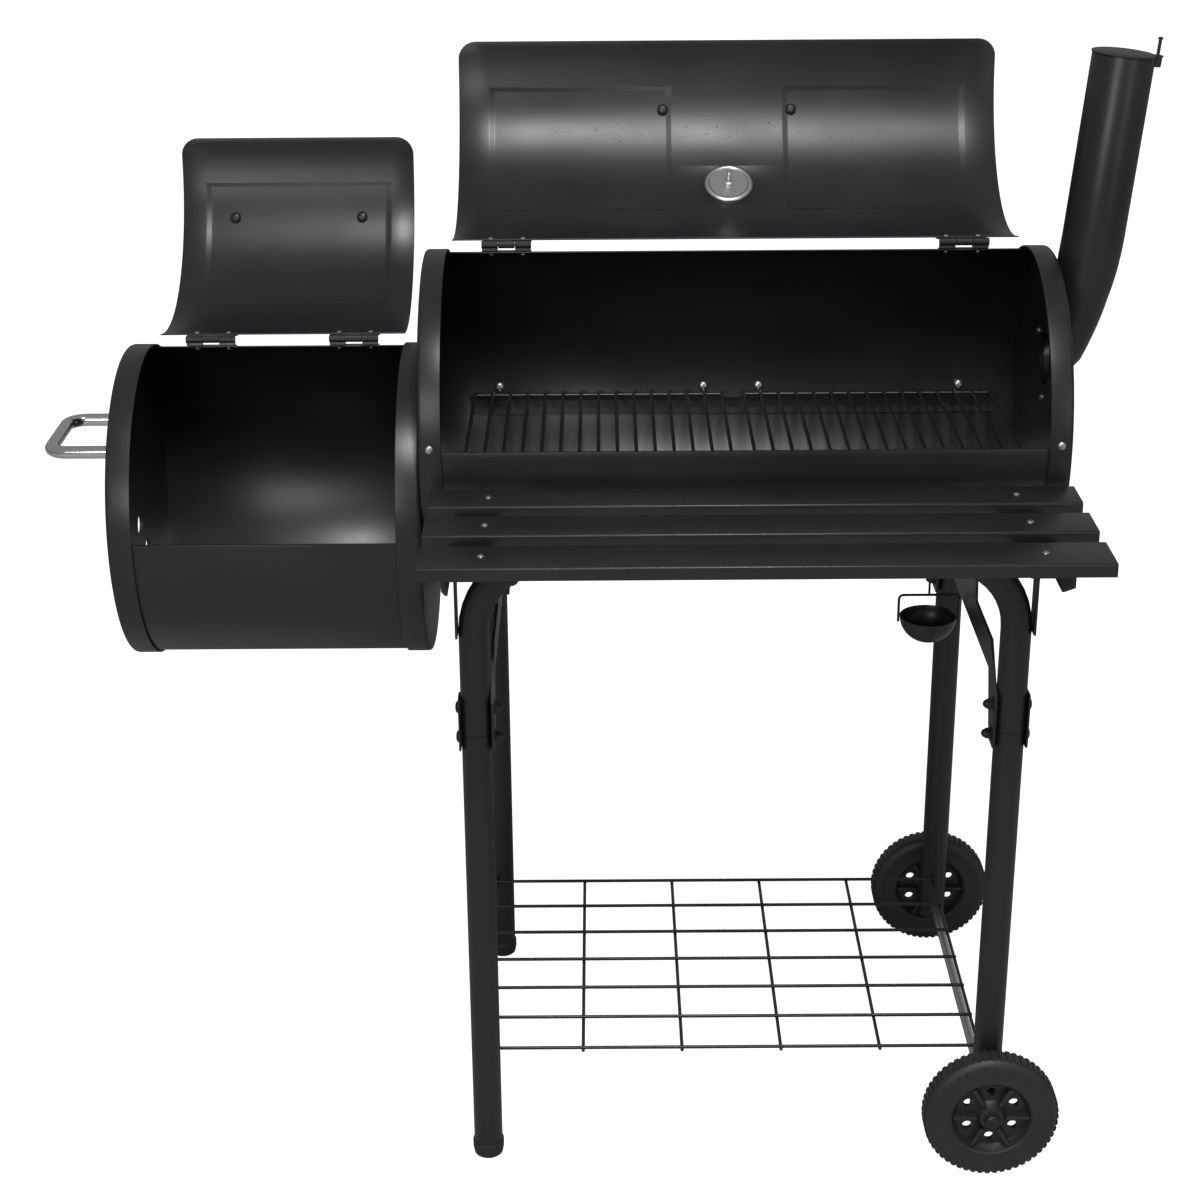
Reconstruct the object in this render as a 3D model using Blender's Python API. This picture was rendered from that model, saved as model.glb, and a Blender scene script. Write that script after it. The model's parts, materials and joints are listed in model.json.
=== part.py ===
"""Offset charcoal smoker: a main barrel with a lower side firebox, both with hinged lids,
a leaning chimney, a slatted front shelf, a tube frame, a wire bottom shelf and two wheels.

Metres, +Z up, front towards -Y. All pieces hang on one empty, which puts the middle of the
whole object's box over the world origin, with the feet on the ground.
"""
import math

import bmesh
import bpy
from mathutils import Matrix, Vector

# ---- driving dimensions -------------------------------------------------------------------
BOX_CENTRE_X = -0.1571
BOX_CENTRE_Y = -0.0438

GAP = 0.0003
SHEET = 0.0015
CAP_WALL = 0.0018
CAP_RIM_WALL = 0.002
SHELL_INSET = 0.0025
LID_INSET = 0.0018
DRUM_SIDES = 48
SHELL_STEPS = 40
LID_STEPS = 22

BARREL_R = 0.174
BARREL_HALF_LENGTH = 0.335
BARREL_Z = 0.814
FIREBOX_R = 0.1705
FIREBOX_LENGTH = 0.327
FIREBOX_Z = 0.7135
BARREL_FLANGE = 0.024
FIREBOX_FLANGE = 0.026

LIP_ANGLE = 177.3
HINGE_ANGLE = 71.5
LID_OVERLAP_ANGLE = 182.0
LID_OPEN = 178.0
LID_CORNER = 0.020
LID_SIDE_GAP = 0.0025
LEAF_END_GAP = 1.0

THROAT_R = 0.075
THROAT_Z = 0.765

HINGE_WIDTH = 0.054
FIXED_LEAF_ANGLES = (62.0, 69.6)
MOVING_LEAF_ANGLES = (73.2, 81.5)
KNUCKLE_GAP = 0.0004
HINGE_RISE = 0.0045
KNUCKLE_R = 0.004
PIN_R = 0.002
BARREL_HINGE_X = 0.249
FIREBOX_HINGE_X = 0.079

HANDLE_SPAN = 0.148
HANDLE_STAND_OFF = 0.045
HANDLE_TUBE_R = 0.006
HANDLE_BEND = 0.016
BARREL_HANDLE_ANGLE = 156.0
FIREBOX_HANDLE_ANGLE = 150.7

GAUGE_R = 0.028
GAUGE_ANGLE = 123.0
GAUGE_BEZEL = 0.004
GAUGE_SEAT_GAP = 0.003
GAUGE_DIAL_DEPTH = 0.009
PROBE_R = 0.003
PROBE_LENGTH = 0.026

TUBE_R = 0.016
TUBE_WALL = 0.0015
LEG_X = 0.280
LEG_Y = 0.2187
JOINT_Z = 0.530
RAIL_Z = 0.725
RAIL_BEND = 0.080
JOINT_BOLT_RISE = 0.028
JOINT_PLATE_HALF = 0.0125
JOINT_PLATE_WALL = 0.002
BOLT_R = 0.003
FOOT_HEIGHT = 0.020
FOOT_LIP = 0.0015
BRACE_PLATE = 0.003
ARCH_TOP = 0.617
ARCH_LEG = 0.018
ARCH_SHOULDER = 0.045
SADDLE_HALF_ANGLE = 24.0

WHEEL_R = 0.075
WHEEL_WIDTH = 0.030
WHEEL_CLEARANCE = 0.006
WHEEL_HOLES = 6
WHEEL_HOLE_R = 0.0085
WHEEL_HOLE_CIRCLE = 0.029
WEB_IN = 0.011
AXLE_R = 0.005

SHELF_Z = 0.1184
SHELF_WIRE = 0.004
SHELF_HALF_Y = 0.191
SHELF_PITCH_X = 0.1118
SHELF_LEFT = -0.2836

SLAT_TOP = 0.787
SLAT_SKIRT = 0.0135
SLAT_HALF = 0.329
SLAT_SHIFT = 0.007
SLAT_EDGES = ((-0.184, -0.235), (-0.262, -0.317), (-0.344, -0.404))
BRACKET_X = 0.268
BRACKET_PLATE = 0.0025
BRACKET_FLANGE = 0.012
ARM_LOW = 0.737
ARM_NOSE_Y = -0.350

GRATE_Z = 0.784
GRATE_BAR = 0.004
GRATE_CENTRES = (-0.150, 0.160)
GRATE_HALF_X = 0.1445
GRATE_HALF_Y = 0.157
GRATE_WIRES = 15
RAIL_LEDGE = 0.016
RAIL_DROP = 0.022
RAIL_WALL = 0.002
GRATE_RAIL_START = -0.300
GRATE_RAIL_LENGTH = 0.610

CHIMNEY_R = 0.0325
CHIMNEY_WALL = 0.0015
CHIMNEY_FOOT_HALF = 0.036
CHIMNEY_FOOT_RISE = 0.054
CHIMNEY_ELBOW = ((0.0030, 0.110, 30.0), (0.0036, 0.131, 43.8), (0.0044, 0.154, 59.8), (0.0064, 0.172, 73.8))
CHIMNEY_STRAIGHT = (0.0088, 0.192)
CHIMNEY_TOP = 0.190
CHIMNEY_LEAN = 5.2
CHIMNEY_SIDES = 20
CHIMNEY_HOLE_R = 0.029
DAMPER_LUG_R = 0.005
DAMPER_LUG_OUT = 0.0025
DAMPER_PIN_R = 0.0018
DAMPER_PIN_LENGTH = 0.020

SIDE_HANDLE_R = 0.007
SIDE_HANDLE_Z = 0.787
SIDE_HANDLE_HALF = 0.057
SIDE_HANDLE_REACH = 0.079
SIDE_HANDLE_BEND = 0.020

VENT_Z = 0.655
VENT_R = 0.050
VENT_HOLE_R = 0.013
VENT_HOLE_CIRCLE = 0.029
VENT_HOLES = 3
VENT_TURN = math.radians(97)
VENT_KNOB_R = 0.006
VENT_KNOB_REACH = 0.012
VENT_TAB = 0.0015

DRAIN_R = 0.0075
DRAIN_LENGTH = 0.0085
CUP_X = 0.222
CUP_R = 0.032
CUP_RIM_Z = 0.566
CUP_DEPTH = 0.030
CUP_WALL = 0.0012
CUP_STEPS = 5
HANGER_R = 0.0015
T_BAR_HALF = 0.014
BAIL_RISE = 0.026
BAIL_BEND = 0.005

FIREBOX_RIGHT = -BARREL_HALF_LENGTH - GAP
FIREBOX_LEFT = FIREBOX_RIGHT - FIREBOX_LENGTH
FIREBOX_MIDDLE = (FIREBOX_LEFT + FIREBOX_RIGHT) / 2

X_AXIS = Vector((1, 0, 0))
Y_AXIS = Vector((0, 1, 0))
Z_AXIS = Vector((0, 0, 1))


# ---- scene, materials and small makers ----------------------------------------------------
for old in list(bpy.data.objects):
    bpy.data.objects.remove(old, do_unlink=True)

root = bpy.data.objects.new("smoker_frame_origin", None)
root.location = (-BOX_CENTRE_X, -BOX_CENTRE_Y, 0)
bpy.context.collection.objects.link(root)


def finish(name, colour, metallic, roughness):
    material = bpy.data.materials.new(name)
    material.use_nodes = True
    shader = material.node_tree.nodes["Principled BSDF"]
    shader.inputs["Base Color"].default_value = (*colour, 1)
    shader.inputs["Metallic"].default_value = metallic
    shader.inputs["Roughness"].default_value = roughness
    return material


HEAT_PAINT = finish("heat_paint", (0.016, 0.017, 0.019), 0.0, 0.38)
FRAME_PAINT = finish("frame_paint", (0.014, 0.015, 0.016), 0.0, 0.42)
ENAMELLED_WIRE = finish("enamelled_wire", (0.012, 0.012, 0.013), 0.0, 0.35)
BRIGHT_CHROME = finish("bright_chrome", (0.75, 0.75, 0.76), 1.0, 0.12)
GAUGE_STEEL = finish("gauge_steel", (0.62, 0.62, 0.61), 1.0, 0.25)
ZINC = finish("zinc_bolt", (0.45, 0.45, 0.46), 1.0, 0.35)
WHEEL_PLASTIC = finish("wheel_plastic", (0.022, 0.022, 0.024), 0.0, 0.55)
FOOT_PLASTIC = finish("foot_plastic", (0.015, 0.015, 0.016), 0.0, 0.6)


def add_object(name, bm, material, pivot=(0, 0, 0), turn=None, sharp=35):
    """An object from a bmesh drawn in the smoker's own frame, with its origin on pivot."""
    bmesh.ops.translate(bm, verts=bm.verts, vec=-Vector(pivot))
    bmesh.ops.recalc_face_normals(bm, faces=bm.faces)
    mesh = bpy.data.meshes.new(name)
    bm.to_mesh(mesh)
    bm.free()
    mesh.shade_smooth()
    mesh.set_sharp_from_angle(angle=math.radians(sharp))
    mesh.materials.append(material)
    piece = bpy.data.objects.new(name, mesh)
    piece.location = pivot
    if turn is not None:
        piece.rotation_euler = turn
    piece.parent = root
    bpy.context.collection.objects.link(piece)
    return piece


def modify(piece, bm, operation):
    """A Boolean of piece with a hidden helper made from bm, drawn in piece's own frame."""
    helper = add_object(piece.name + "_helper", bm, piece.data.materials[0], piece.location)
    helper.rotation_euler = piece.rotation_euler
    helper.hide_render = True
    helper.display_type = "WIRE"
    boolean = piece.modifiers.new(operation.lower(), "BOOLEAN")
    boolean.operation = operation
    boolean.solver = "EXACT"
    boolean.object = helper


def cut(piece, bm):
    modify(piece, bm, "DIFFERENCE")


def join(piece, bm):
    modify(piece, bm, "UNION")


def turned(profile, centre, axis, sides):
    """A solid of revolution; profile is a closed loop of (distance along axis, radius)."""
    axis = Vector(axis).normalized()
    side = axis.orthogonal().normalized()
    other = axis.cross(side)
    bm = bmesh.new()
    rings = []
    for along, radius in profile:
        middle = Vector(centre) + axis * along
        if radius < 1e-6:
            rings.append([bm.verts.new(middle)])
            continue
        ring = []
        for k in range(sides):
            angle = 2 * math.pi * k / sides
            offset = side * math.cos(angle) + other * math.sin(angle)
            ring.append(bm.verts.new(middle + offset * radius))
        rings.append(ring)
    for first, second in zip(rings, rings[1:] + rings[:1]):
        if len(first) == 1 and len(second) == 1:
            continue
        for k in range(sides):
            corners = [first[k % len(first)], first[(k + 1) % len(first)],
                       second[(k + 1) % len(second)], second[k % len(second)]]
            bm.faces.new(list(dict.fromkeys(corners)))
    return bm


def rod(start, end, radius, sides=16):
    length = (Vector(end) - Vector(start)).length
    profile = [(0, 0), (0, radius), (length, radius), (length, 0)]
    return turned(profile, start, Vector(end) - Vector(start), sides)


def pipe(start, end, radius, wall, sides=24):
    length = (Vector(end) - Vector(start)).length
    profile = [(0, radius - wall), (0, radius), (length, radius), (length, radius - wall)]
    return turned(profile, start, Vector(end) - Vector(start), sides)


def block(low, high):
    bm = bmesh.new()
    bmesh.ops.create_cube(bm, size=1)
    low, high = Vector(low), Vector(high)
    size = high - low
    bmesh.ops.scale(bm, verts=bm.verts, vec=size)
    bmesh.ops.translate(bm, verts=bm.verts, vec=(low + high) / 2)
    return bm


def plate(outline, direction, thickness):
    """A flat plate: outline is a loop of 3-D points, direction the way it is thickened."""
    bm = bmesh.new()
    face = bm.faces.new([bm.verts.new(point) for point in outline])
    grown = bmesh.ops.extrude_face_region(bm, geom=[face])
    moved = [item for item in grown["geom"] if isinstance(item, bmesh.types.BMVert)]
    bmesh.ops.translate(bm, verts=moved, vec=Vector(direction) * thickness)
    return bm


def swept(path, radius, sides=10):
    """A round bar along a path of points in one plane, with flat ends."""
    points = [Vector(point) for point in path]
    flat = (points[1] - points[0]).cross(points[-1] - points[0])
    flat = flat if flat.length > 1e-9 else (points[-2] - points[-1]).cross(points[0] - points[-1])
    flat.normalize()
    bm = bmesh.new()
    rings = []
    for k, point in enumerate(points):
        before = (point - points[k - 1]).normalized() if k else (points[1] - point).normalized()
        after = (points[k + 1] - point).normalized() if k + 1 < len(points) else before
        along = (before + after).normalized()
        stretch = 1 / max(0.3, along.dot(before))
        across = along.cross(flat).normalized()
        ring = []
        for j in range(sides):
            angle = 2 * math.pi * j / sides
            offset = across * math.cos(angle) * stretch + flat * math.sin(angle)
            ring.append(bm.verts.new(point + offset * radius))
        rings.append(ring)
    for first, second in zip(rings, rings[1:]):
        for j in range(sides):
            nxt = (j + 1) % sides
            bm.faces.new([first[j], first[nxt], second[nxt], second[j]])
    bm.faces.new(list(reversed(rings[0])))
    bm.faces.new(rings[-1])
    return bm


def rounded_path(corners, bend, steps=4):
    """Straight runs between corners, with each inner corner turned into an arc."""
    points = [Vector(corners[0])]
    for before, corner, after in zip(corners, corners[1:], corners[2:]):
        corner = Vector(corner)
        to_before = (Vector(before) - corner).normalized()
        to_after = (Vector(after) - corner).normalized()
        half = to_before.angle(to_after) / 2
        centre = corner + (to_before + to_after).normalized() * bend / math.sin(half)
        start = corner + to_before * bend / math.tan(half)
        swing = (start - centre).rotation_difference(corner + to_after * bend / math.tan(half) - centre)
        for k in range(steps + 1):
            part = Matrix.Rotation(swing.angle * k / steps, 3, swing.axis)
            points.append(centre + part @ (start - centre))
    points.append(Vector(corners[-1]))
    return points


def curved_sheet(stations, inner, thickness, z_axis, x_middle):
    """A sheet bent round an axis along X; stations are (angle in degrees, half width)."""
    bm = bmesh.new()
    rows = []
    for angle, half in stations:
        y, z = math.cos(math.radians(angle)), math.sin(math.radians(angle))
        row = []
        for radius in (inner, inner + thickness):
            for x in (x_middle - half, x_middle + half):
                row.append(bm.verts.new((x, y * radius, z_axis + z * radius)))
        rows.append(row)
    for a, b in zip(rows, rows[1:]):
        for first, second in ((0, 1), (1, 3), (3, 2), (2, 0)):
            bm.faces.new([a[first], a[second], b[second], b[first]])
    for row in (rows[0], rows[-1]):
        bm.faces.new([row[0], row[1], row[3], row[2]])
    return bm


def arc_stations(first, last, half, steps):
    return [(first + (last - first) * k / steps, half) for k in range(steps + 1)]


def lid_stations(first, last, half, radius):
    """Stations of a lid whose two free corners are rounded."""
    corner = math.degrees(LID_CORNER / radius)
    stations = arc_stations(first, last - corner, half, LID_STEPS)
    for k in range(1, 5):
        angle = math.pi / 2 * k / 4
        shrink = LID_CORNER * (1 - math.cos(angle))
        stations.append((last - corner + corner * math.sin(angle), half - shrink))
    return stations


def lattice(x_edges, y_edges, keep, z_low, z_high):
    """Flat bars in two directions, welded into one grid: the cells that keep(i, j) names."""
    bm = bmesh.new()
    corners = [[bm.verts.new((x, y, z_low)) for y in y_edges] for x in x_edges]
    faces = []
    for i in range(len(x_edges) - 1):
        for j in range(len(y_edges) - 1):
            if keep(i, j):
                faces.append(bm.faces.new([corners[i][j], corners[i][j + 1],
                                           corners[i + 1][j + 1], corners[i + 1][j]]))
    grown = bmesh.ops.extrude_face_region(bm, geom=faces)
    moved = [item for item in grown["geom"] if isinstance(item, bmesh.types.BMVert)]
    bmesh.ops.translate(bm, verts=moved, vec=(0, 0, z_high - z_low))
    return bm


def bar_edges(centres, width):
    edges = []
    for centre in centres:
        edges += [centre - width / 2, centre + width / 2]
    return edges


def on_drum(radius, angle, z_axis, x):
    angle = math.radians(angle)
    return Vector((x, radius * math.cos(angle), z_axis + radius * math.sin(angle)))


# ---- barrel and firebox drums -------------------------------------------------------------
def drum_shell(name, radius, z_axis, x_left, x_right):
    """The rolled sheet: open at the top front, from the rear hinge line to the front lip."""
    half = (x_right - x_left) / 2 - CAP_WALL - GAP
    stations = arc_stations(LIP_ANGLE - 360, HINGE_ANGLE - LEAF_END_GAP, half, SHELL_STEPS)
    bm = curved_sheet(stations, radius - SHELL_INSET - SHEET, SHEET, z_axis, (x_left + x_right) / 2)
    return add_object(name, bm, HEAT_PAINT)


def end_cap(name, radius, z_axis, x_face, inward, flange):
    """A pressed disc with a rim that wraps over the end of the shell."""
    inner = radius - CAP_RIM_WALL
    profile = [(0, 0), (0, inner), (CAP_RIM_WALL, radius), (flange, radius), (flange, inner),
               (CAP_WALL, inner), (CAP_WALL, 0)]
    bm = turned(profile, (x_face, 0, z_axis), (inward, 0, 0), DRUM_SIDES)
    return add_object(name, bm, HEAT_PAINT)


def hinge_centre(radius, z_axis, x):
    return on_drum(radius + HINGE_RISE, HINGE_ANGLE, z_axis, x)


def open_turn():
    return (-math.radians(LID_OPEN), 0, 0)


def drum_lid(name, radius, z_axis, x_left, x_right, flange):
    """The curved lid, drawn shut and turned open about its hinge line."""
    middle = (x_left + x_right) / 2
    half = (x_right - x_left) / 2 - flange - LID_SIDE_GAP
    stations = lid_stations(HINGE_ANGLE + LEAF_END_GAP, LID_OVERLAP_ANGLE, half, radius)
    bm = curved_sheet(stations, radius - LID_INSET, SHEET, z_axis, middle)
    pivot = hinge_centre(radius, z_axis, middle)
    return add_object(name, bm, HEAT_PAINT, pivot, open_turn())


def hinge(name, radius, z_axis, x):
    """Two leaves: the fixed one holds the pin, the other turns on it with the lid."""
    centre = hinge_centre(radius, z_axis, x)
    half = HINGE_WIDTH / 2
    third = HINGE_WIDTH / 6
    shell_face = radius - SHELL_INSET + GAP
    lid_face = radius - LID_INSET + SHEET + GAP
    fixed_leaf = arc_stations(*FIXED_LEAF_ANGLES, half, 2)
    fixed = add_object(name + "_fixed_leaf", curved_sheet(fixed_leaf, shell_face, SHEET, z_axis, x),
                       HEAT_PAINT)
    for side in (-1, 1):
        x_side = x + side * 2 * third
        tongue = arc_stations(FIXED_LEAF_ANGLES[1] - 0.4, HINGE_ANGLE, third - KNUCKLE_GAP, 2)
        join(fixed, curved_sheet(tongue, shell_face + 0.0002, 0.0036, z_axis, x_side))
        start = centre + X_AXIS * side * (third + KNUCKLE_GAP)
        join(fixed, rod(start, centre + X_AXIS * side * half, KNUCKLE_R, 10))
    join(fixed, rod(centre - X_AXIS * (half - 0.004), centre + X_AXIS * (half - 0.004), PIN_R, 8))

    moving_leaf = arc_stations(*MOVING_LEAF_ANGLES, half, 2)
    moving = add_object(name + "_lid_leaf", curved_sheet(moving_leaf, lid_face, SHEET, z_axis, x),
                        HEAT_PAINT, centre, open_turn())
    tongue = arc_stations(HINGE_ANGLE, MOVING_LEAF_ANGLES[0] + 0.4, third - KNUCKLE_GAP, 2)
    join(moving, curved_sheet(tongue, lid_face + 0.0001, 0.0013, z_axis, x))
    knuckle = rod(centre - X_AXIS * (third - 0.0002), centre + X_AXIS * (third - 0.0002), KNUCKLE_R, 10)
    join(moving, knuckle)
    bore = rod(centre - X_AXIS * third * 1.5, centre + X_AXIS * third * 1.5, PIN_R + GAP, 8)
    cut(moving, bore)


def lid_handle(name, radius, z_axis, x, angle, pivot):
    """A round bar bent into a grip, its two ends bolted to the outside of the lid."""
    out = on_drum(1, angle, 0, 0)
    foot = on_drum(radius + GAP, angle, z_axis, x)
    half = X_AXIS * HANDLE_SPAN / 2
    top = out * HANDLE_STAND_OFF
    path = rounded_path([foot - half, foot - half + top, foot + half + top, foot + half], HANDLE_BEND)
    bm = swept(path, HANDLE_TUBE_R)
    return add_object(name, bm, HEAT_PAINT, pivot, open_turn())


barrel_shell = drum_shell("barrel_shell", BARREL_R, BARREL_Z, -BARREL_HALF_LENGTH, BARREL_HALF_LENGTH)
shell_low = BARREL_Z - BARREL_R + SHELL_INSET
drain_low = (CUP_X, 0, shell_low - DRAIN_LENGTH)
join(barrel_shell, rod(drain_low, (CUP_X, 0, shell_low + SHEET / 2), DRAIN_R + 0.0025, 14))
cut(barrel_shell, rod((CUP_X, 0, drain_low[2] - 0.01), (CUP_X, 0, shell_low + 0.02), DRAIN_R, 14))

barrel_end_left = end_cap("barrel_end_left", BARREL_R, BARREL_Z, -BARREL_HALF_LENGTH, 1, BARREL_FLANGE)
barrel_end_right = end_cap("barrel_end_right", BARREL_R, BARREL_Z, BARREL_HALF_LENGTH, -1, BARREL_FLANGE)
drum_shell("firebox_shell", FIREBOX_R, FIREBOX_Z, FIREBOX_LEFT, FIREBOX_RIGHT)
firebox_end_left = end_cap("firebox_end_left", FIREBOX_R, FIREBOX_Z, FIREBOX_LEFT, 1, FIREBOX_FLANGE)
firebox_end_right = end_cap("firebox_end_right", FIREBOX_R, FIREBOX_Z, FIREBOX_RIGHT, -1, FIREBOX_FLANGE)

for cap in (barrel_end_left, firebox_end_right):
    x = cap.data.vertices[0].co.x
    cut(cap, rod((x - 0.01, 0, THROAT_Z), (x + 0.01, 0, THROAT_Z), THROAT_R, 24))

barrel_lid = drum_lid("barrel_lid", BARREL_R, BARREL_Z, -BARREL_HALF_LENGTH, BARREL_HALF_LENGTH,
                      BARREL_FLANGE)
drum_lid("firebox_lid", FIREBOX_R, FIREBOX_Z, FIREBOX_LEFT, FIREBOX_RIGHT, FIREBOX_FLANGE)
for side, name in ((-1, "left"), (1, "right")):
    hinge("barrel_hinge_" + name, BARREL_R, BARREL_Z, side * BARREL_HINGE_X)
    hinge("firebox_hinge_" + name, FIREBOX_R, FIREBOX_Z, FIREBOX_MIDDLE + side * FIREBOX_HINGE_X)
lid_handle("barrel_lid_handle", BARREL_R, BARREL_Z, 0, BARREL_HANDLE_ANGLE,
           hinge_centre(BARREL_R, BARREL_Z, 0))
lid_handle("firebox_lid_handle", FIREBOX_R, FIREBOX_Z, FIREBOX_MIDDLE, FIREBOX_HANDLE_ANGLE,
           hinge_centre(FIREBOX_R, FIREBOX_Z, FIREBOX_MIDDLE))


# ---- thermometer --------------------------------------------------------------------------
lid_pivot = hinge_centre(BARREL_R, BARREL_Z, 0)
gauge_out = on_drum(1, GAUGE_ANGLE, 0, 0)
gauge_seat = on_drum(BARREL_R, GAUGE_ANGLE, BARREL_Z, 0)
cut(barrel_lid, rod(gauge_seat - gauge_out * 0.02, gauge_seat + gauge_out * 0.02, GAUGE_R + GAP, 24))
bezel_r = GAUGE_R + GAUGE_BEZEL
window_r = GAUGE_R + 0.001
bezel_top = GAUGE_DIAL_DEPTH + 0.003
case_profile = [(-GAUGE_DIAL_DEPTH, 0), (-GAUGE_DIAL_DEPTH, GAUGE_R), (GAUGE_SEAT_GAP, GAUGE_R),
                (GAUGE_SEAT_GAP, bezel_r), (bezel_top, bezel_r), (bezel_top, window_r),
                (GAUGE_DIAL_DEPTH, window_r), (GAUGE_DIAL_DEPTH, 0)]
gauge_case = add_object("thermometer_case", turned(case_profile, gauge_seat, gauge_out, 24),
                        GAUGE_STEEL, lid_pivot, open_turn())
join(gauge_case, rod(gauge_seat - gauge_out * PROBE_LENGTH, gauge_seat - gauge_out * 0.006, PROBE_R, 10))
needle_low = gauge_seat + gauge_out * (GAUGE_DIAL_DEPTH + GAP)
across = gauge_out.cross(X_AXIS).normalized()
needle_outline = [needle_low + X_AXIS * u + across * v for u, v in
                  ((-0.007, -0.0012), (-0.007, 0.0012), (0.021, 0.0006), (0.021, -0.0006))]
add_object("thermometer_needle", plate(needle_outline, gauge_out, 0.0008), GAUGE_STEEL,
           lid_pivot, open_turn())


# ---- chimney ------------------------------------------------------------------------------
def chimney_rings(radius, start_half):
    """Rings from the end cap's face, through the curved foot, up the leaning pipe."""
    base = BARREL_HALF_LENGTH + GAP
    rings = [(Vector((base, 0, BARREL_Z + CHIMNEY_FOOT_RISE)), Z_AXIS * -start_half)]
    for x, z, elevation in CHIMNEY_ELBOW:
        tilt = math.radians(elevation)
        down = Vector((math.sin(tilt), 0, -math.cos(tilt)))
        inner = Vector((base + x, 0, BARREL_Z + z))
        rings.append((inner + down * CHIMNEY_R, down * radius))
    lean = math.radians(90 - CHIMNEY_LEAN)
    down = Vector((math.sin(lean), 0, -math.cos(lean)))
    up = Vector((math.cos(lean), 0, math.sin(lean)))
    low = Vector((base + CHIMNEY_STRAIGHT[0], 0, BARREL_Z + CHIMNEY_STRAIGHT[1])) + down * CHIMNEY_R
    rings.append((low, down * radius))
    rings.append((low + up * CHIMNEY_TOP, down * radius))
    return rings, low + up * CHIMNEY_TOP, up, down


outer_rings, chimney_mouth, chimney_up, chimney_out = chimney_rings(CHIMNEY_R, CHIMNEY_FOOT_HALF)
inner_rings = chimney_rings(CHIMNEY_R - CHIMNEY_WALL, CHIMNEY_FOOT_HALF - CHIMNEY_WALL)[0]
bm = bmesh.new()
loops = []
for rings, radius in ((outer_rings, CHIMNEY_R), (list(reversed(inner_rings)), CHIMNEY_R - CHIMNEY_WALL)):
    for centre, down in rings:
        loop = []
        for k in range(CHIMNEY_SIDES):
            angle = 2 * math.pi * k / CHIMNEY_SIDES
            loop.append(bm.verts.new(centre + down * math.cos(angle) + Y_AXIS * radius * math.sin(angle)))
        loops.append(loop)
for first, second in zip(loops, loops[1:] + loops[:1]):
    for k in range(CHIMNEY_SIDES):
        nxt = (k + 1) % CHIMNEY_SIDES
        bm.faces.new([first[k], first[nxt], second[nxt], second[k]])
chimney_pipe = add_object("chimney_pipe", bm, HEAT_PAINT)
lug_centre = chimney_mouth + chimney_out * (CHIMNEY_R + DAMPER_LUG_OUT)
lug = rod(lug_centre - chimney_up * 0.010, lug_centre, DAMPER_LUG_R, 12)
join(chimney_pipe, lug)

chimney_hole = Vector((BARREL_HALF_LENGTH, 0, BARREL_Z + CHIMNEY_FOOT_RISE))
cut(barrel_end_right, rod(chimney_hole - X_AXIS * 0.015, chimney_hole + X_AXIS * 0.015, CHIMNEY_HOLE_R, 24))

damper_pivot = lug_centre + chimney_up * GAP
disc_low = chimney_mouth + chimney_up * GAP
disc_up = chimney_up * SHEET
chimney_damper = add_object("chimney_damper", rod(disc_low, disc_low + disc_up, CHIMNEY_R + 0.001, 24),
                            HEAT_PAINT, damper_pivot)
join(chimney_damper, rod(damper_pivot, damper_pivot + disc_up, DAMPER_LUG_R + 0.001, 12))
pin_top = damper_pivot + chimney_up * DAMPER_PIN_LENGTH
join(chimney_damper, rod(damper_pivot + chimney_up * 0.0005, pin_top, DAMPER_PIN_R, 10))


# ---- firebox side handle and air vent -----------------------------------------------------
handle_face = Vector((FIREBOX_LEFT - GAP, 0, SIDE_HANDLE_Z))
reach = X_AXIS * -SIDE_HANDLE_REACH
wide = Y_AXIS * SIDE_HANDLE_HALF
handle_path = rounded_path([handle_face + wide, handle_face + wide + reach,
                            handle_face - wide + reach, handle_face - wide], SIDE_HANDLE_BEND)
add_object("firebox_side_handle", swept(handle_path, SIDE_HANDLE_R), BRIGHT_CHROME)


def vent_holes(piece, x):
    for k in range(VENT_HOLES):
        angle = 2 * math.pi * k / VENT_HOLES + VENT_TURN
        y = VENT_HOLE_CIRCLE * math.cos(angle)
        z = VENT_Z + VENT_HOLE_CIRCLE * math.sin(angle)
        cut(piece, rod((x - 0.01, y, z), (x + 0.01, y, z), VENT_HOLE_R, 12))


vent_holes(firebox_end_left, FIREBOX_LEFT)
vent_face = FIREBOX_LEFT - GAP
vent_profile = [(0, 0), (0, VENT_R), (SHEET, VENT_R), (SHEET, VENT_KNOB_R),
                (VENT_KNOB_REACH, VENT_KNOB_R), (VENT_KNOB_REACH, 0)]
air_damper = add_object("firebox_air_damper",
                        turned(vent_profile, (vent_face, 0, VENT_Z), (-1, 0, 0), 24),
                        HEAT_PAINT, (vent_face, 0, VENT_Z))
vent_holes(air_damper, vent_face)
tab_low = (vent_face - 0.016, -VENT_TAB, VENT_Z - VENT_R - 0.012)
tab_high = (vent_face, VENT_TAB, VENT_Z - VENT_R + 0.006)
join(air_damper, block(tab_low, tab_high))


# ---- cooking grates and their rails -------------------------------------------------------
wire_step = (2 * GRATE_HALF_X - GRATE_BAR) / (GRATE_WIRES - 1)
for centre, name in zip(GRATE_CENTRES, ("left", "right")):
    wires = [centre - GRATE_HALF_X + GRATE_BAR / 2 + k * wire_step for k in range(GRATE_WIRES)]
    cross = (-GRATE_HALF_Y + GRATE_BAR / 2, GRATE_HALF_Y - GRATE_BAR / 2)
    add_object("cooking_grate_" + name,
               lattice(bar_edges(wires, GRATE_BAR), bar_edges(cross, GRATE_BAR),
                       lambda i, j: i % 2 == 0 or j % 2 == 0, GRATE_Z - GRATE_BAR, GRATE_Z),
               ENAMELLED_WIRE)
rail_top = GRATE_Z - GRATE_BAR - GAP
rail_low = rail_top - RAIL_DROP
rail_in = BARREL_R - SHELL_INSET - SHEET
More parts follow.
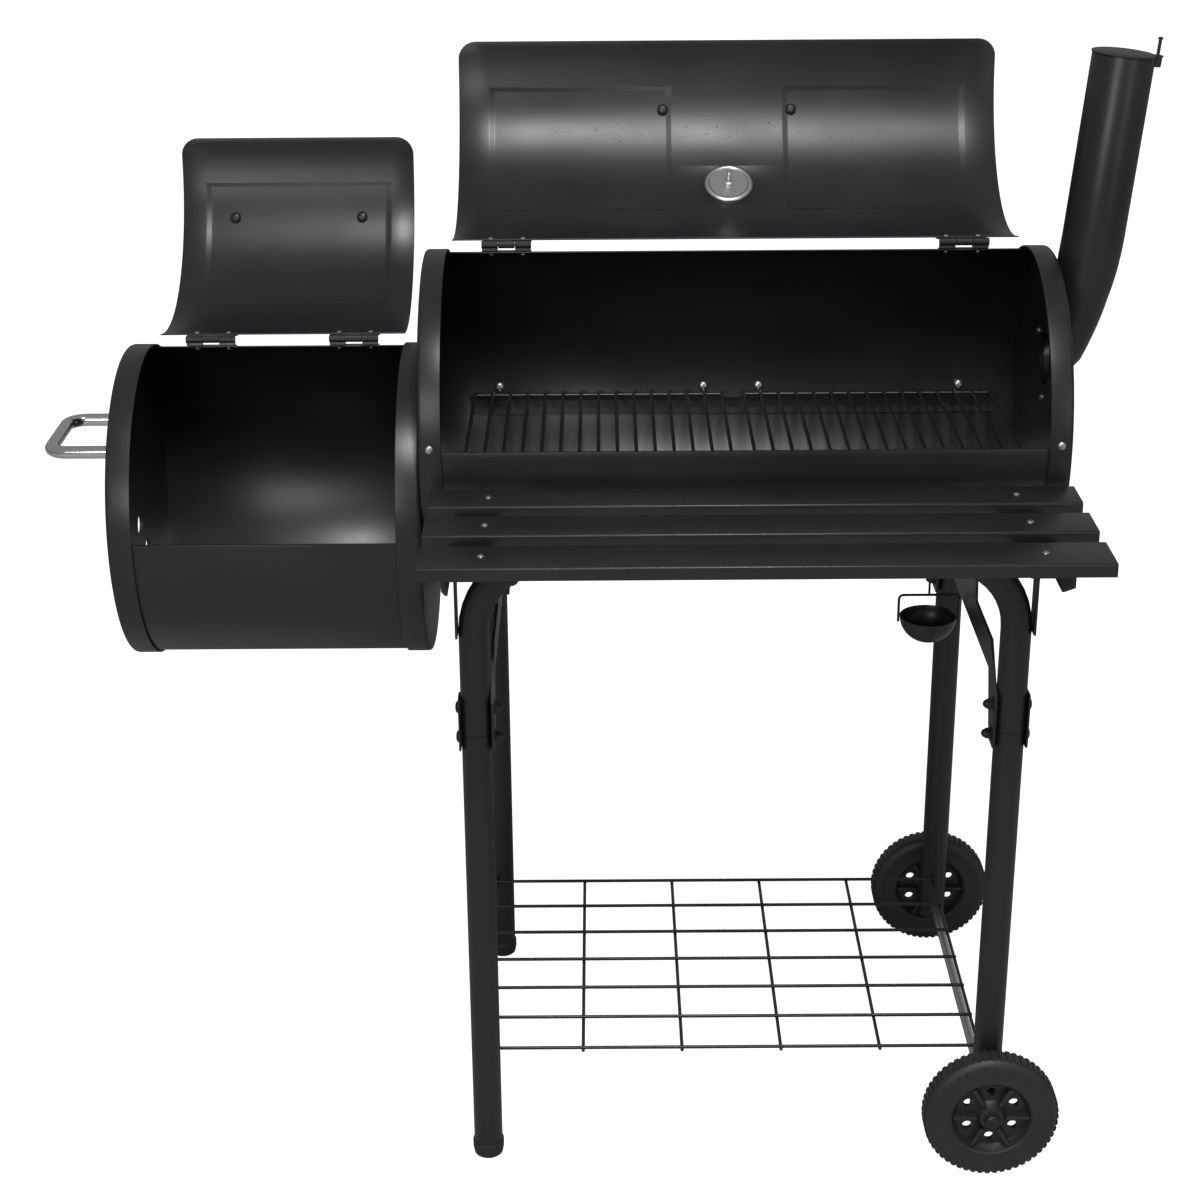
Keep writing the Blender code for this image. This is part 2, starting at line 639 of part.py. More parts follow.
for side, name in ((-1, "front"), (1, "rear")):
    wall_top = math.sqrt(rail_in ** 2 - (rail_top - BARREL_Z) ** 2) - GAP
    wall_low = math.sqrt(rail_in ** 2 - (rail_low - BARREL_Z) ** 2) - GAP
    ledge = wall_top - RAIL_LEDGE
    under = rail_top - RAIL_WALL
    profile = [(ledge, rail_top), (wall_top, rail_top), (wall_low, rail_low),
               (wall_low - RAIL_WALL, rail_low), (wall_top - 0.0025, under), (ledge, under)]
    outline = [(GRATE_RAIL_START, side * y, z) for y, z in profile]
    add_object("grate_rail_" + name, plate(outline, X_AXIS, GRATE_RAIL_LENGTH), HEAT_PAINT)


# ---- front shelf --------------------------------------------------------------------------
for k, (back, front) in enumerate(SLAT_EDGES):
    skirt_low = SLAT_TOP - SLAT_SKIRT
    outer = [(back, skirt_low), (back, SLAT_TOP), (front, SLAT_TOP), (front, skirt_low)]
    inner = [(front + SHEET, skirt_low), (front + SHEET, SLAT_TOP - SHEET),
             (back - SHEET, SLAT_TOP - SHEET), (back - SHEET, skirt_low)]
    left = SLAT_SHIFT - SLAT_HALF
    outline = [(left, y, z) for y, z in outer + inner]
    name = "shelf_slat_" + ("rear", "middle", "front")[k]
    add_object(name, plate(outline, X_AXIS, 2 * SLAT_HALF), HEAT_PAINT)

arm_back = SLAT_EDGES[0][0] - 0.004
arm_front = SLAT_EDGES[-1][1] + 0.006
notch_top = SLAT_TOP - SLAT_SKIRT - 0.001
for side, name in ((-1, "left"), (1, "right")):
    x_web = side * (LEG_X + TUBE_R + GAP)
    low = RAIL_Z - RAIL_BEND - 0.005
    web = [(-LEG_Y + 0.010, low), (-LEG_Y + 0.010, notch_top), (arm_front, notch_top),
           (arm_front, notch_top - 0.012), (ARM_NOSE_Y, ARM_LOW), (-LEG_Y - 0.026, ARM_LOW),
           (-LEG_Y - 0.012, ARM_LOW - 0.035), (-LEG_Y - 0.012, low)]
    bracket = add_object("shelf_bracket_" + name,
                         plate([(x_web, y, z) for y, z in web], X_AXIS * side, BRACKET_PLATE),
                         FRAME_PAINT)
    x_sides = sorted((side * (BRACKET_X - BRACKET_FLANGE), x_web + side * BRACKET_PLATE))
    join(bracket, block((x_sides[0], arm_front, notch_top - 0.002), (x_sides[1], arm_back, notch_top)))


# ---- tube frame ---------------------------------------------------------------------------
for side, name in ((-1, "front"), (1, "rear")):
    y = side * LEG_Y
    path = rounded_path([(-LEG_X, y, JOINT_Z + GAP), (-LEG_X, y, RAIL_Z), (LEG_X, y, RAIL_Z),
                         (LEG_X, y, JOINT_Z + GAP)], RAIL_BEND, 5)
    upper = add_object("upper_frame_" + name, swept(path, TUBE_R, 14), FRAME_PAINT)
    for leg_side in (-1, 1):
        z = JOINT_Z + JOINT_BOLT_RISE
        cut(upper, rod((leg_side * (LEG_X - 0.03), y, z), (leg_side * (LEG_X + 0.03), y, z), BOLT_R + GAP, 8))

for side_x, name_x in ((-1, "left"), (1, "right")):
    for side_y, name_y in ((-1, "front"), (1, "rear")):
        x, y = side_x * LEG_X, side_y * LEG_Y
        bottom = FOOT_HEIGHT / 2 if side_x < 0 else WHEEL_R - 0.020
        leg = add_object(f"leg_{name_y}_{name_x}",
                         pipe((x, y, bottom), (x, y, JOINT_Z), TUBE_R, TUBE_WALL, 16), FRAME_PAINT)
        if side_x > 0:
            cut(leg, rod((x, y - 0.03, WHEEL_R), (x, y + 0.03, WHEEL_R), AXLE_R + GAP, 16))
        z_bolt = JOINT_Z + JOINT_BOLT_RISE
        face = x + side_x * (TUBE_R + GAP)
        outside = face + side_x * JOINT_PLATE_WALL
        low = (min(face, outside), y - JOINT_PLATE_HALF, JOINT_Z - 0.020)
        high = (max(face, outside), y + JOINT_PLATE_HALF, JOINT_Z + 0.042)
        splice = add_object(f"joint_plate_{name_y}_{name_x}", block(low, high), FRAME_PAINT)
        cut(splice, rod((face - 0.01, y, z_bolt), (face + 0.01, y, z_bolt), BOLT_R + GAP, 8))
        head = outside + side_x * GAP
        bolt_profile = [(0, 0), (0, 0.0055), (0.0035, 0.0065), (0.0035, BOLT_R), (0.0445, BOLT_R),
                        (0.0445, 0.0060), (0.0515, 0.0050), (0.0530, 0)]
        bolt = turned(bolt_profile, (head + side_x * 0.0035, y, z_bolt), (-side_x, 0, 0), 10)
        add_object(f"joint_bolt_{name_y}_{name_x}", bolt, ZINC)

foot_out, foot_in, foot_floor = TUBE_R + FOOT_LIP, TUBE_R + GAP, FOOT_HEIGHT / 2 - GAP
foot_profile = [(0, 0), (0, 0.011), (0.004, TUBE_R), (0.010, foot_out), (FOOT_HEIGHT, foot_out),
                (FOOT_HEIGHT, foot_in), (foot_floor, foot_in), (foot_floor, 0)]
for side_y, name_y in ((-1, "front"), (1, "rear")):
    add_object(f"foot_cap_{name_y}", turned(foot_profile, (-LEG_X, side_y * LEG_Y, 0), Z_AXIS, 16),
               FOOT_PLASTIC)


# ---- end braces: an arch between front and rear legs that carries the barrel in a saddle --
ARCH_FOOT = JOINT_Z - ARCH_LEG
saddle_r = BARREL_R - SHELL_INSET + GAP
saddle_steps = 8
for side, name in ((-1, "left"), (1, "right")):
    x_face = side * (LEG_X - TUBE_R - GAP)
    outer_y, inner_y = LEG_Y + 0.012, LEG_Y - 0.014
    arc = []
    for k in range(saddle_steps + 1):
        angle = math.radians(270 - SADDLE_HALF_ANGLE + 2 * SADDLE_HALF_ANGLE * k / saddle_steps)
        arc.append((saddle_r * math.cos(angle), BARREL_Z + saddle_r * math.sin(angle)))
    shoulder = outer_y - ARCH_SHOULDER
    outline = [(-outer_y, ARCH_FOOT), (-outer_y, ARCH_TOP - 0.050), (-shoulder, ARCH_TOP)]
    outline += [(arc[0][0] - 0.010, ARCH_TOP)] + arc + [(arc[-1][0] + 0.010, ARCH_TOP)]
    outline += [(shoulder, ARCH_TOP), (outer_y, ARCH_TOP - 0.050), (outer_y, ARCH_FOOT),
                (inner_y, ARCH_FOOT), (inner_y - 0.024, ARCH_TOP - 0.034),
                (-inner_y + 0.024, ARCH_TOP - 0.034), (-inner_y, ARCH_FOOT)]
    brace = add_object("end_brace_" + name,
                       plate([(x_face, y, z) for y, z in outline], X_AXIS * -side, BRACE_PLATE),
                       FRAME_PAINT)
    for y in (-LEG_Y, LEG_Y):
        z = JOINT_Z + JOINT_BOLT_RISE
        cut(brace, rod((x_face - 0.01, y, z), (x_face + 0.01, y, z), BOLT_R + GAP, 8))


# ---- axle and wheels ----------------------------------------------------------------------
WHEEL_IN = LEG_Y + TUBE_R + WHEEL_CLEARANCE
WHEEL_OUT = WHEEL_IN + WHEEL_WIDTH
AXLE_END = WHEEL_OUT + 0.006
add_object("axle", rod((LEG_X, -AXLE_END, WHEEL_R), (LEG_X, AXLE_END, WHEEL_R), AXLE_R, 16), ZINC)
nut_profile = [(0, AXLE_R + GAP), (0, 0.010), (0.004, 0.010), (0.007, 0.006), (0.0075, 0), (0.0063, 0),
               (0.0063, AXLE_R + GAP)]
wheel_half = [(0, AXLE_R + GAP), (0, 0.013), (WEB_IN, 0.018), (WEB_IN, 0.040), (0.001, 0.047), (0, 0.066),
              (0.008, WHEEL_R)]
wheel_profile = wheel_half + [(WHEEL_WIDTH - along, r) for along, r in reversed(wheel_half)]
for side, name in ((-1, "front"), (1, "rear")):
    centre = (LEG_X, side * WHEEL_IN, WHEEL_R)
    wheel = add_object("wheel_" + name, turned(wheel_profile, centre, (0, side, 0), 28),
                       WHEEL_PLASTIC, centre)
    for k in range(WHEEL_HOLES):
        angle = 2 * math.pi * (k + 0.5) / WHEEL_HOLES
        x = LEG_X + WHEEL_HOLE_CIRCLE * math.cos(angle)
        z = WHEEL_R + WHEEL_HOLE_CIRCLE * math.sin(angle)
        cut(wheel, rod((x, side * WHEEL_IN, z), (x, side * WHEEL_OUT, z), WHEEL_HOLE_R, 8))
    add_object("axle_nut_" + name,
               turned(nut_profile, (LEG_X, side * (WHEEL_OUT + GAP), WHEEL_R), (0, side, 0), 16), ZINC)


# ---- bottom wire shelf --------------------------------------------------------------------
cross_x = [SHELF_LEFT + k * SHELF_PITCH_X for k in range(6)]
long_y = [-SHELF_HALF_Y + k * SHELF_HALF_Y / 3 for k in range(7)]
leg_face = LEG_Y - TUBE_R - GAP
edges_y = [-leg_face] + bar_edges(long_y, SHELF_WIRE) + [leg_face]
last_i, last_j = 2 * len(cross_x) - 2, len(edges_y) - 2


def shelf_cell(i, j):
    """Only the two end wires run on past the outer long wires, to reach the legs."""
    if j in (0, last_j):
        return i in (0, last_i)
    return i % 2 == 0 or j % 2 == 1


add_object("bottom_shelf",
           lattice(bar_edges(cross_x, SHELF_WIRE), edges_y, shelf_cell,
                   SHELF_Z - SHELF_WIRE / 2, SHELF_Z + SHELF_WIRE / 2), ENAMELLED_WIRE)


# ---- grease cup and its hanger ------------------------------------------------------------
hang_z = shell_low + SHEET + HANGER_R + GAP
cup_profile = [(0, 0)]
for k in range(1, CUP_STEPS + 1):
    angle = math.pi / 2 * k / CUP_STEPS
    cup_profile.append((CUP_DEPTH * (1 - math.cos(angle)), CUP_R * math.sin(angle)))
for k in range(CUP_STEPS, -1, -1):
    angle = math.pi / 2 * k / CUP_STEPS
    cup_profile.append((CUP_DEPTH - (CUP_DEPTH - CUP_WALL) * math.cos(angle),
                        (CUP_R - CUP_WALL) * math.sin(angle)))
cup_centre = (CUP_X, 0, CUP_RIM_Z - CUP_DEPTH)
hang_point = (CUP_X, 0, hang_z)
add_object("grease_cup", turned(cup_profile, cup_centre, Z_AXIS, 18), HEAT_PAINT, hang_point)
bail_half = CUP_R + GAP + HANGER_R
bail_top = CUP_RIM_Z + BAIL_RISE
bail_low = CUP_RIM_Z - 0.006
bail_corners = [(CUP_X - bail_half, 0, bail_low), (CUP_X - bail_half, 0, bail_top),
                (CUP_X + bail_half, 0, bail_top), (CUP_X + bail_half, 0, bail_low)]
bail = rounded_path(bail_corners, BAIL_BEND, 3)
hanger = add_object("cup_hanger", swept(bail, HANGER_R, 8), ENAMELLED_WIRE, hang_point)
join(hanger, rod((CUP_X, 0, bail_top - 0.0005), (CUP_X, 0, hang_z + 0.0005), HANGER_R * 0.9, 7))
join(hanger, rod((CUP_X - T_BAR_HALF, 0, hang_z), (CUP_X + T_BAR_HALF, 0, hang_z), HANGER_R, 8))
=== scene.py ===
import json
import math

import bmesh
import bpy
from mathutils import Matrix, Vector


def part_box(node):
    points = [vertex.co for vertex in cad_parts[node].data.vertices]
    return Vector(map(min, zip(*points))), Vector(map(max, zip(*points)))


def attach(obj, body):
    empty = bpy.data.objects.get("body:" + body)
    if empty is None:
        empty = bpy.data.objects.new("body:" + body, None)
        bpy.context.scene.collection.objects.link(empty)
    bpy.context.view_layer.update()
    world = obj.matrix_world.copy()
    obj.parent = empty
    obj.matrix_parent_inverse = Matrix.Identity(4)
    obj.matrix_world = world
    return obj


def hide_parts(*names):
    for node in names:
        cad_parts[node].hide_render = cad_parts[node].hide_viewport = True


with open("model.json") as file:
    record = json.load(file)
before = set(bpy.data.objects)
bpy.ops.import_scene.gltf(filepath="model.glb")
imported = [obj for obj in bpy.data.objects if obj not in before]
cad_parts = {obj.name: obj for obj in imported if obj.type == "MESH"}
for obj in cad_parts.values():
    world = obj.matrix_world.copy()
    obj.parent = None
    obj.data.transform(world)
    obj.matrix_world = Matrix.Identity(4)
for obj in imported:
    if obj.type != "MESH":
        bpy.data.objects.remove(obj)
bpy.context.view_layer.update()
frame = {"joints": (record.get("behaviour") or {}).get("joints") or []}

X, Y, Z = Vector((1, 0, 0)), Vector((0, 1, 0)), Vector((0, 0, 1))


# ---- Stage --------------------------------------------------------------------------------
# The smoker stands on a plain white floor in a white studio. A strong soft lamp hangs high in
# front; a weaker one fills from the front left, and the weakest from the front right.
camera = bpy.data.objects.new("camera", bpy.data.cameras.new("camera"))
camera.data.lens = 69.0
camera.matrix_world = (Matrix.Translation((0.0101, -2.3598, 1.5755))
                       @ Matrix.Rotation(math.radians(0.063), 4, "Z")
                       @ Matrix.Rotation(math.radians(67.67), 4, "X")
                       @ Matrix.Rotation(math.radians(-0.387), 4, "Z"))
bpy.context.scene.collection.objects.link(camera)
bpy.context.scene.camera = camera
bpy.context.scene.view_settings.view_transform = "Standard"


def lamp(name, place, target, width, height, power):
    light = bpy.data.lights.new(name, "AREA")
    light.shape = "RECTANGLE"
    light.size = width
    light.size_y = height
    light.energy = power
    holder = bpy.data.objects.new(name, light)
    holder.location = place
    holder.rotation_euler = (Vector(target) - Vector(place)).to_track_quat("-Z", "Y").to_euler()
    bpy.context.scene.collection.objects.link(holder)


lamp("key_lamp", (0.22, -2.25, 4.15), (0.10, 0.25, 1.0), 0.75, 0.85, 92)
lamp("front_lamp", (-0.95, -3.1, 1.85), (-0.2, 0.0, 0.8), 0.9, 1.1, 20)
lamp("right_lamp", (1.9, -2.4, 1.5), (0.2, 0.0, 0.8), 0.6, 1.2, 4)


def camera_only(tree, seen_by_others, target):
    """Full white to the camera itself, and only this bright to every other ray."""
    path = tree.nodes.new("ShaderNodeLightPath")
    glow = tree.nodes.new("ShaderNodeMapRange")
    glow.inputs["To Min"].default_value = seen_by_others
    tree.links.new(path.outputs["Is Camera Ray"], glow.inputs["Value"])
    tree.links.new(glow.outputs["Result"], target)


world = bpy.data.worlds.new("studio")
world.use_nodes = True
bpy.context.scene.world = world
sky = world.node_tree.nodes["Background"]
sky.inputs["Color"].default_value = (1, 1, 1, 1)
camera_only(world.node_tree, 0.26, sky.inputs["Strength"])

bpy.ops.object.select_all(action="DESELECT")
bpy.ops.mesh.primitive_plane_add(size=60)
floor = bpy.context.object
floor.name = "studio_floor"
white = bpy.data.materials.new("white_floor")
white.use_nodes = True
white_shader = white.node_tree.nodes["Principled BSDF"]
white_shader.inputs["Base Color"].default_value = (0.5, 0.5, 0.5, 1)
white_shader.inputs["Roughness"].default_value = 0.9
white_shader.inputs["Emission Strength"].default_value = 1.0
camera_only(white.node_tree, 0.0, white_shader.inputs["Emission Color"])
floor.data.materials.append(white)


# ---- Rolled shells of the barrel and the firebox --------------------------------------------
# Each is one 1.5 mm steel sheet rolled into a drum that is open from the hinge line to the front
# lip, where its edge is folded in. Both are sprayed with satin black heat-resistant paint.
class Shade:
    """A value in a material's nodes. Sums and products written with it add Math nodes."""

    def __init__(self, tree, socket=None):
        self.tree = tree
        self.socket = socket

    def node(self, kind, settings, links, out=0):
        """A node of a kind, with its settings, then the values or links of its sockets."""
        made = self.tree.nodes.new("ShaderNode" + kind)
        for name, value in settings.items():
            setattr(made, name, value)
        for name, value in links.items():
            if isinstance(value, Shade):
                self.tree.links.new(value.socket, made.inputs[name])
            else:
                made.inputs[name].default_value = value
        return Shade(self.tree, made.outputs[out])

    def math(self, operation, first, second):
        return self.node("Math", {"operation": operation}, {0: first, 1: second})

    def noise(self, scale, detail=2.0):
        """Soft noise of a scale per metre, fixed to the piece."""
        place = self.node("TexCoord", {}, {}, "Object")
        return self.node("TexNoise", {}, {"Vector": place, "Scale": scale, "Detail": detail})

    def spread(self, low, high):
        """This value stretched so that low becomes 0 and high becomes 1."""
        return self.node("MapRange", {}, {"Value": self, "From Min": low, "From Max": high})

    def tint(self, dark, light):
        """The colour between two colours that this value stands for."""
        ends = {0: self, 6: (*dark, 1), 7: (*light, 1)}
        return self.node("Mix", {"data_type": "RGBA"}, ends, 2)

    def __add__(self, other):
        return self.math("ADD", self, other)

    def __mul__(self, other):
        return self.math("MULTIPLY", self, other)

    __radd__ = __add__
    __rmul__ = __mul__


def coating(name, metallic=0.0):
    """A new finish: the material, its shader, and a Shade to draw its pattern with."""
    material = bpy.data.materials.new(name)
    material.use_nodes = True
    shader = material.node_tree.nodes["Principled BSDF"]
    shader.inputs["Metallic"].default_value = metallic
    return material, shader, Shade(material.node_tree)


def wear(shade, shader, colour, roughness, relief):
    """Joins a finish's colour, roughness and relief in metres to its shader."""
    links = shade.tree.links
    links.new(colour.socket, shader.inputs["Base Color"])
    links.new(roughness.socket, shader.inputs["Roughness"])
    bump = shade.node("Bump", {}, {"Height": relief, "Distance": 1.0, "Strength": 1.0})
    links.new(bump.socket, shader.inputs["Normal"])


def paint(name, dark, light, gloss, ripple, grain=0.000012):
    """Sprayed paint: a fine orange-peel grain, soft cloudy gloss, dust, and ripples in the sheet."""
    material, shader, shade = coating(name)
    cloud = shade.noise(9.0, 4.0).spread(0.3, 0.7)
    peel = shade.noise(620.0, 3.0)
    dust = shade.noise(340.0, 1.0).spread(0.70, 0.80)
    colour = (cloud * 0.7 + peel * 0.3 + dust * 0.6).tint(dark, light)
    roughness = cloud * 0.07 + peel * 0.06 + dust * 0.2 + gloss
    wear(shade, shader, colour, roughness, peel * grain + shade.noise(11.0, 1.0) * ripple)
    return material


HEAT_PAINT = paint("heat_paint", (0.010, 0.0105, 0.0120), (0.019, 0.020, 0.0225), 0.29, 0.0006)


def let_go():
    """Back to object mode with nothing selected, so that an operator meets only the next piece."""
    if bpy.context.object and bpy.context.object.mode != "OBJECT":
        bpy.ops.object.mode_set(mode="OBJECT")
    bpy.ops.object.select_all(action="DESELECT")


def take(*pieces):
    """Selects some pieces and nothing else; the first is the active one."""
    let_go()
    for piece in pieces:
        piece.select_set(True)
    bpy.context.view_layer.objects.active = pieces[0]


def settle():
    """Puts the new piece's place and size into its mesh and opens it for editing."""
    bpy.ops.object.transform_apply(location=True, rotation=True, scale=True)
    bpy.ops.object.mode_set(mode="EDIT")
    bpy.ops.mesh.select_all(action="SELECT")
    return bpy.context.object


def pick(of, test):
    """In edit mode, selects the vertices, edges or faces whose middle passes the test."""
    bpy.ops.mesh.select_mode(type={"verts": "VERT", "edges": "EDGE", "faces": "FACE"}[of])
    bpy.ops.mesh.select_all(action="DESELECT")
    mesh = bpy.context.object.data
    bm = bmesh.from_edit_mesh(mesh)
    for item in getattr(bm, of):
        corners = [item] if of == "verts" else item.verts
        if test(sum((corner.co for corner in corners), Vector()) / len(corners)):
            item.select_set(True)
    bm.select_flush_mode()
    bmesh.update_edit_mesh(mesh)


def apply_modifier(piece, kind, **settings):
    take(piece)
    modifier = piece.modifiers.new(kind.lower(), kind)
    for name, value in settings.items():
        setattr(modifier, name, value)
    bpy.ops.object.modifier_apply(modifier=modifier.name)


def soften(piece, width, segments=2):
    """Rounds the sharp edges of a piece."""
    apply_modifier(piece, "BEVEL", width=width, segments=segments, limit_method="ANGLE",
                   angle_limit=math.radians(50))


def complete(piece, name, material, body, slot, *nodes):
    """Names and paints a finished piece, and hangs it on its body in place of its CAD nodes."""
    take(piece)
    bpy.ops.object.transform_apply(location=True, rotation=True, scale=True)
    bpy.ops.object.shade_smooth_by_angle(angle=math.radians(35))
    piece.name = name
    piece.data.name = name
    piece.data.materials.clear()
    piece.data.materials.append(material)
    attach(piece, body)
    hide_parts(*nodes)
    return piece


def flat_sheet(x_low, x_high, height):
    """A sheet standing on z = 0 with its outer face to the front, ready to be pressed."""
    let_go()
    bpy.ops.mesh.primitive_plane_add(size=1, rotation=(math.radians(90), 0, 0),
                                     location=((x_low + x_high) / 2, 0, height / 2))
    bpy.context.object.scale = (x_high - x_low, height, 1)
    return settle()


def score(direction, places):
    """Cuts the piece in hand across at each place along a direction."""
    bpy.ops.mesh.select_mode(type="VERT")
    for place in places:
        bpy.ops.mesh.select_all(action="SELECT")
        bpy.ops.mesh.bisect(plane_co=direction * place, plane_no=direction)


def roll(piece, middle, radius, start, sweep):
    """Bends a standing sheet round a drum: its foot lands at angle start, its top at start - sweep."""
    apply_modifier(piece, "SIMPLE_DEFORM", deform_method="BEND", deform_axis="X",
                   angle=math.radians(sweep))
    piece.matrix_world = (Matrix.Translation(middle)
                          @ Matrix.Rotation(math.radians(start - 180), 4, "X")
                          @ Matrix.Translation((0, -radius, 0)))
    bpy.ops.object.transform_apply(location=True, rotation=True, scale=True)


def on_drum(middle, radius, angle, x):
    """A point x along a drum, at an angle that runs from the rear over the top to the front."""
    turn = math.radians(angle)
    return Vector((x, middle.y + radius * math.cos(turn), middle.z + radius * math.sin(turn)))


SHEET = 0.0015
GAP = 0.0003
SHELL_INSET = 0.0025
HINGE_LINE = 71.5
SHELL_START = HINGE_LINE - 1.0
FRONT_LIP = 177.3 - 360.0
HEM_DEPTH = 0.0034
HEM_WIDTH = 0.007
SHELL_STEPS = 110
EDGE_EASE = 0.0005


class Drum:
    """Where a drum lies, read from its two end caps."""

    def __init__(self, name):
        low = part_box(name + "_end_left")[0]
        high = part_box(name + "_end_right")[1]
        flange_low, flange_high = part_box(name + "_end_left")
        self.name = name
        self.left = low.x
        self.right = high.x
        self.middle = (low + high) / 2
        self.radius = (high.z - low.z) / 2
        self.flange = flange_high.x - flange_low.x


BARREL = Drum("barrel")
FIREBOX = Drum("firebox")
CAP_WALL = 0.0018

for drum in (BARREL, FIREBOX):
    outer = drum.radius - SHELL_INSET
    sweep = SHELL_START - FRONT_LIP
    height = outer * math.radians(sweep)
    half = (drum.right - drum.left) / 2 - CAP_WALL - GAP
    shell = flat_sheet(-half, half, height)
    pick("verts", lambda place: place.z > height - 0.0001)
    bpy.ops.mesh.extrude_region_move(TRANSFORM_OT_translate={"value": (0, HEM_DEPTH, 0)})
    bpy.ops.mesh.extrude_region_move(TRANSFORM_OT_translate={"value": (0, 0, -HEM_WIDTH)})
    score(Z, [height * k / SHELL_STEPS for k in range(1, SHELL_STEPS)])
    roll(shell, drum.middle, outer, SHELL_START, sweep)
    apply_modifier(shell, "SOLIDIFY", thickness=SHEET, offset=-1)
    soften(shell, EDGE_EASE)
    complete(shell, drum.name + "_rolled_shell", HEAT_PAINT, "smoker_body", "heat_paint",
             drum.name + "_shell")


# ---- End caps -------------------------------------------------------------------------------
# Four pressed discs close the drums, and each wraps over the shell's end with a flat flange.
# Small zinc screws through the flange hold the barrel's; the two caps that meet share the hole
# that lets the smoke through from the firebox.
def lathe(foot, axis, profile, sides):
    """A turned solid: a disc at the first step of (distance along axis, radius), drawn along."""
    let_go()
    foot, axis = Vector(foot), Vector(axis).normalized()
    along, radius = profile[0]
    bpy.ops.mesh.primitive_circle_add(vertices=sides, radius=radius, fill_type="NGON",
                                      location=foot + axis * along,
                                      rotation=axis.to_track_quat("Z", "Y").to_euler())
    piece = settle()
    for next_along, next_radius in profile[1:]:
        step = axis * (next_along - along)
        bpy.ops.mesh.extrude_region_move(TRANSFORM_OT_translate={"value": step})
        ratio = next_radius / radius
        bpy.ops.transform.resize(value=(ratio,) * 3, center_override=foot + axis * next_along)
        along, radius = next_along, next_radius
    bpy.ops.mesh.select_all(action="SELECT")
    bpy.ops.mesh.normals_make_consistent(inside=False)
    let_go()
    return piece


def bore(piece, place, axis, radius, depth=0.02, sides=48):
    """Drills a round hole through a piece."""
    let_go()
    bpy.ops.mesh.primitive_cylinder_add(vertices=sides, radius=radius, depth=depth, location=place,
                                        rotation=Vector(axis).to_track_quat("Z", "Y").to_euler())
    drill = bpy.context.object
    apply_modifier(piece, "BOOLEAN", operation="DIFFERENCE", solver="EXACT", object=drill)
    bpy.data.objects.remove(drill)


def join(pieces):
    take(*pieces)
    bpy.ops.object.join()
    return pieces[0]


def stand(place, out, up=None):
    """Where a model made at the origin goes: its +Z turned outward, its +Y turned up."""
    turn = Vector(out).to_track_quat("Z", "Y").to_matrix()
    if up:
        out = Vector(out).normalized()
        side = Vector(up).cross(out).normalized()
        turn = Matrix((side, out.cross(side), out)).transposed()
    return Matrix.Translation(place) @ turn.to_4x4()


def set_out(model, stands):
    """Copies a model to each of its stands and makes one piece of them."""
    group = []
    for where in stands:
        take(model)
        bpy.ops.object.duplicate()
        copy = bpy.context.object
        copy.matrix_world = where
        bpy.ops.object.transform_apply(location=True, rotation=True, scale=True)
        group.append(copy)
    bpy.data.objects.remove(model)
    return join(group)


def steel(name, colour, gloss, scratch=0.000002):
    """Bright metal: fine scuffs in its gloss and a little cloud in its colour."""
    material, shader, shade = coating(name, metallic=1.0)
    cloud = shade.noise(60.0, 3.0)
    scuffs = shade.noise(1500.0, 4.0)
    dark = [0.82 * tone for tone in colour]
    wear(shade, shader, cloud.tint(dark, colour), scuffs * 0.10 + cloud * 0.06 + gloss,
         scuffs * scratch)
    return material


def pan_head(radius, height):
    """A domed screw head with a cross recess, facing +Z."""
    dome = [(0.0, radius), (height * 0.35, radius), (height * 0.75, radius * 0.80),
            (height * 0.95, radius * 0.50), (height, radius * 0.2)]
    head = lathe((0, 0, 0), Z, dome, 20)
    for turn in (0, 90):
        let_go()
        bpy.ops.mesh.primitive_cube_add(size=1, location=(0, 0, height),
                                        rotation=(0, 0, math.radians(turn)))
        blade = bpy.context.object
        blade.scale = (radius * 1.1, radius * 0.24, height * 0.7)
        apply_modifier(head, "BOOLEAN", operation="DIFFERENCE", solver="EXACT", object=blade)
        bpy.data.objects.remove(blade)
    return head


ZINC = steel("zinc_bolt", (0.62, 0.62, 0.63), 0.24)
THROAT_R = 0.075
THROAT_Z = 0.765
CHIMNEY_Z = 0.868
CHIMNEY_HOLE_R = 0.029
VENT_Z = 0.655
VENT_HOLE_CIRCLE = 0.029
VENT_HOLES = [(VENT_HOLE_CIRCLE * math.cos(math.radians(turn)),
               VENT_HOLE_CIRCLE * math.sin(math.radians(turn))) for turn in (97, 217, 337)]
VENT_HOLE_R = 0.013
RIM_BEND = 0.004
CAP_DISH = 0.030
CAP_SCREW_ANGLES = (176.0, 270.0, 4.0)
CAP_SCREW_R = 0.0042
CAP_SCREW_RISE = 0.0022

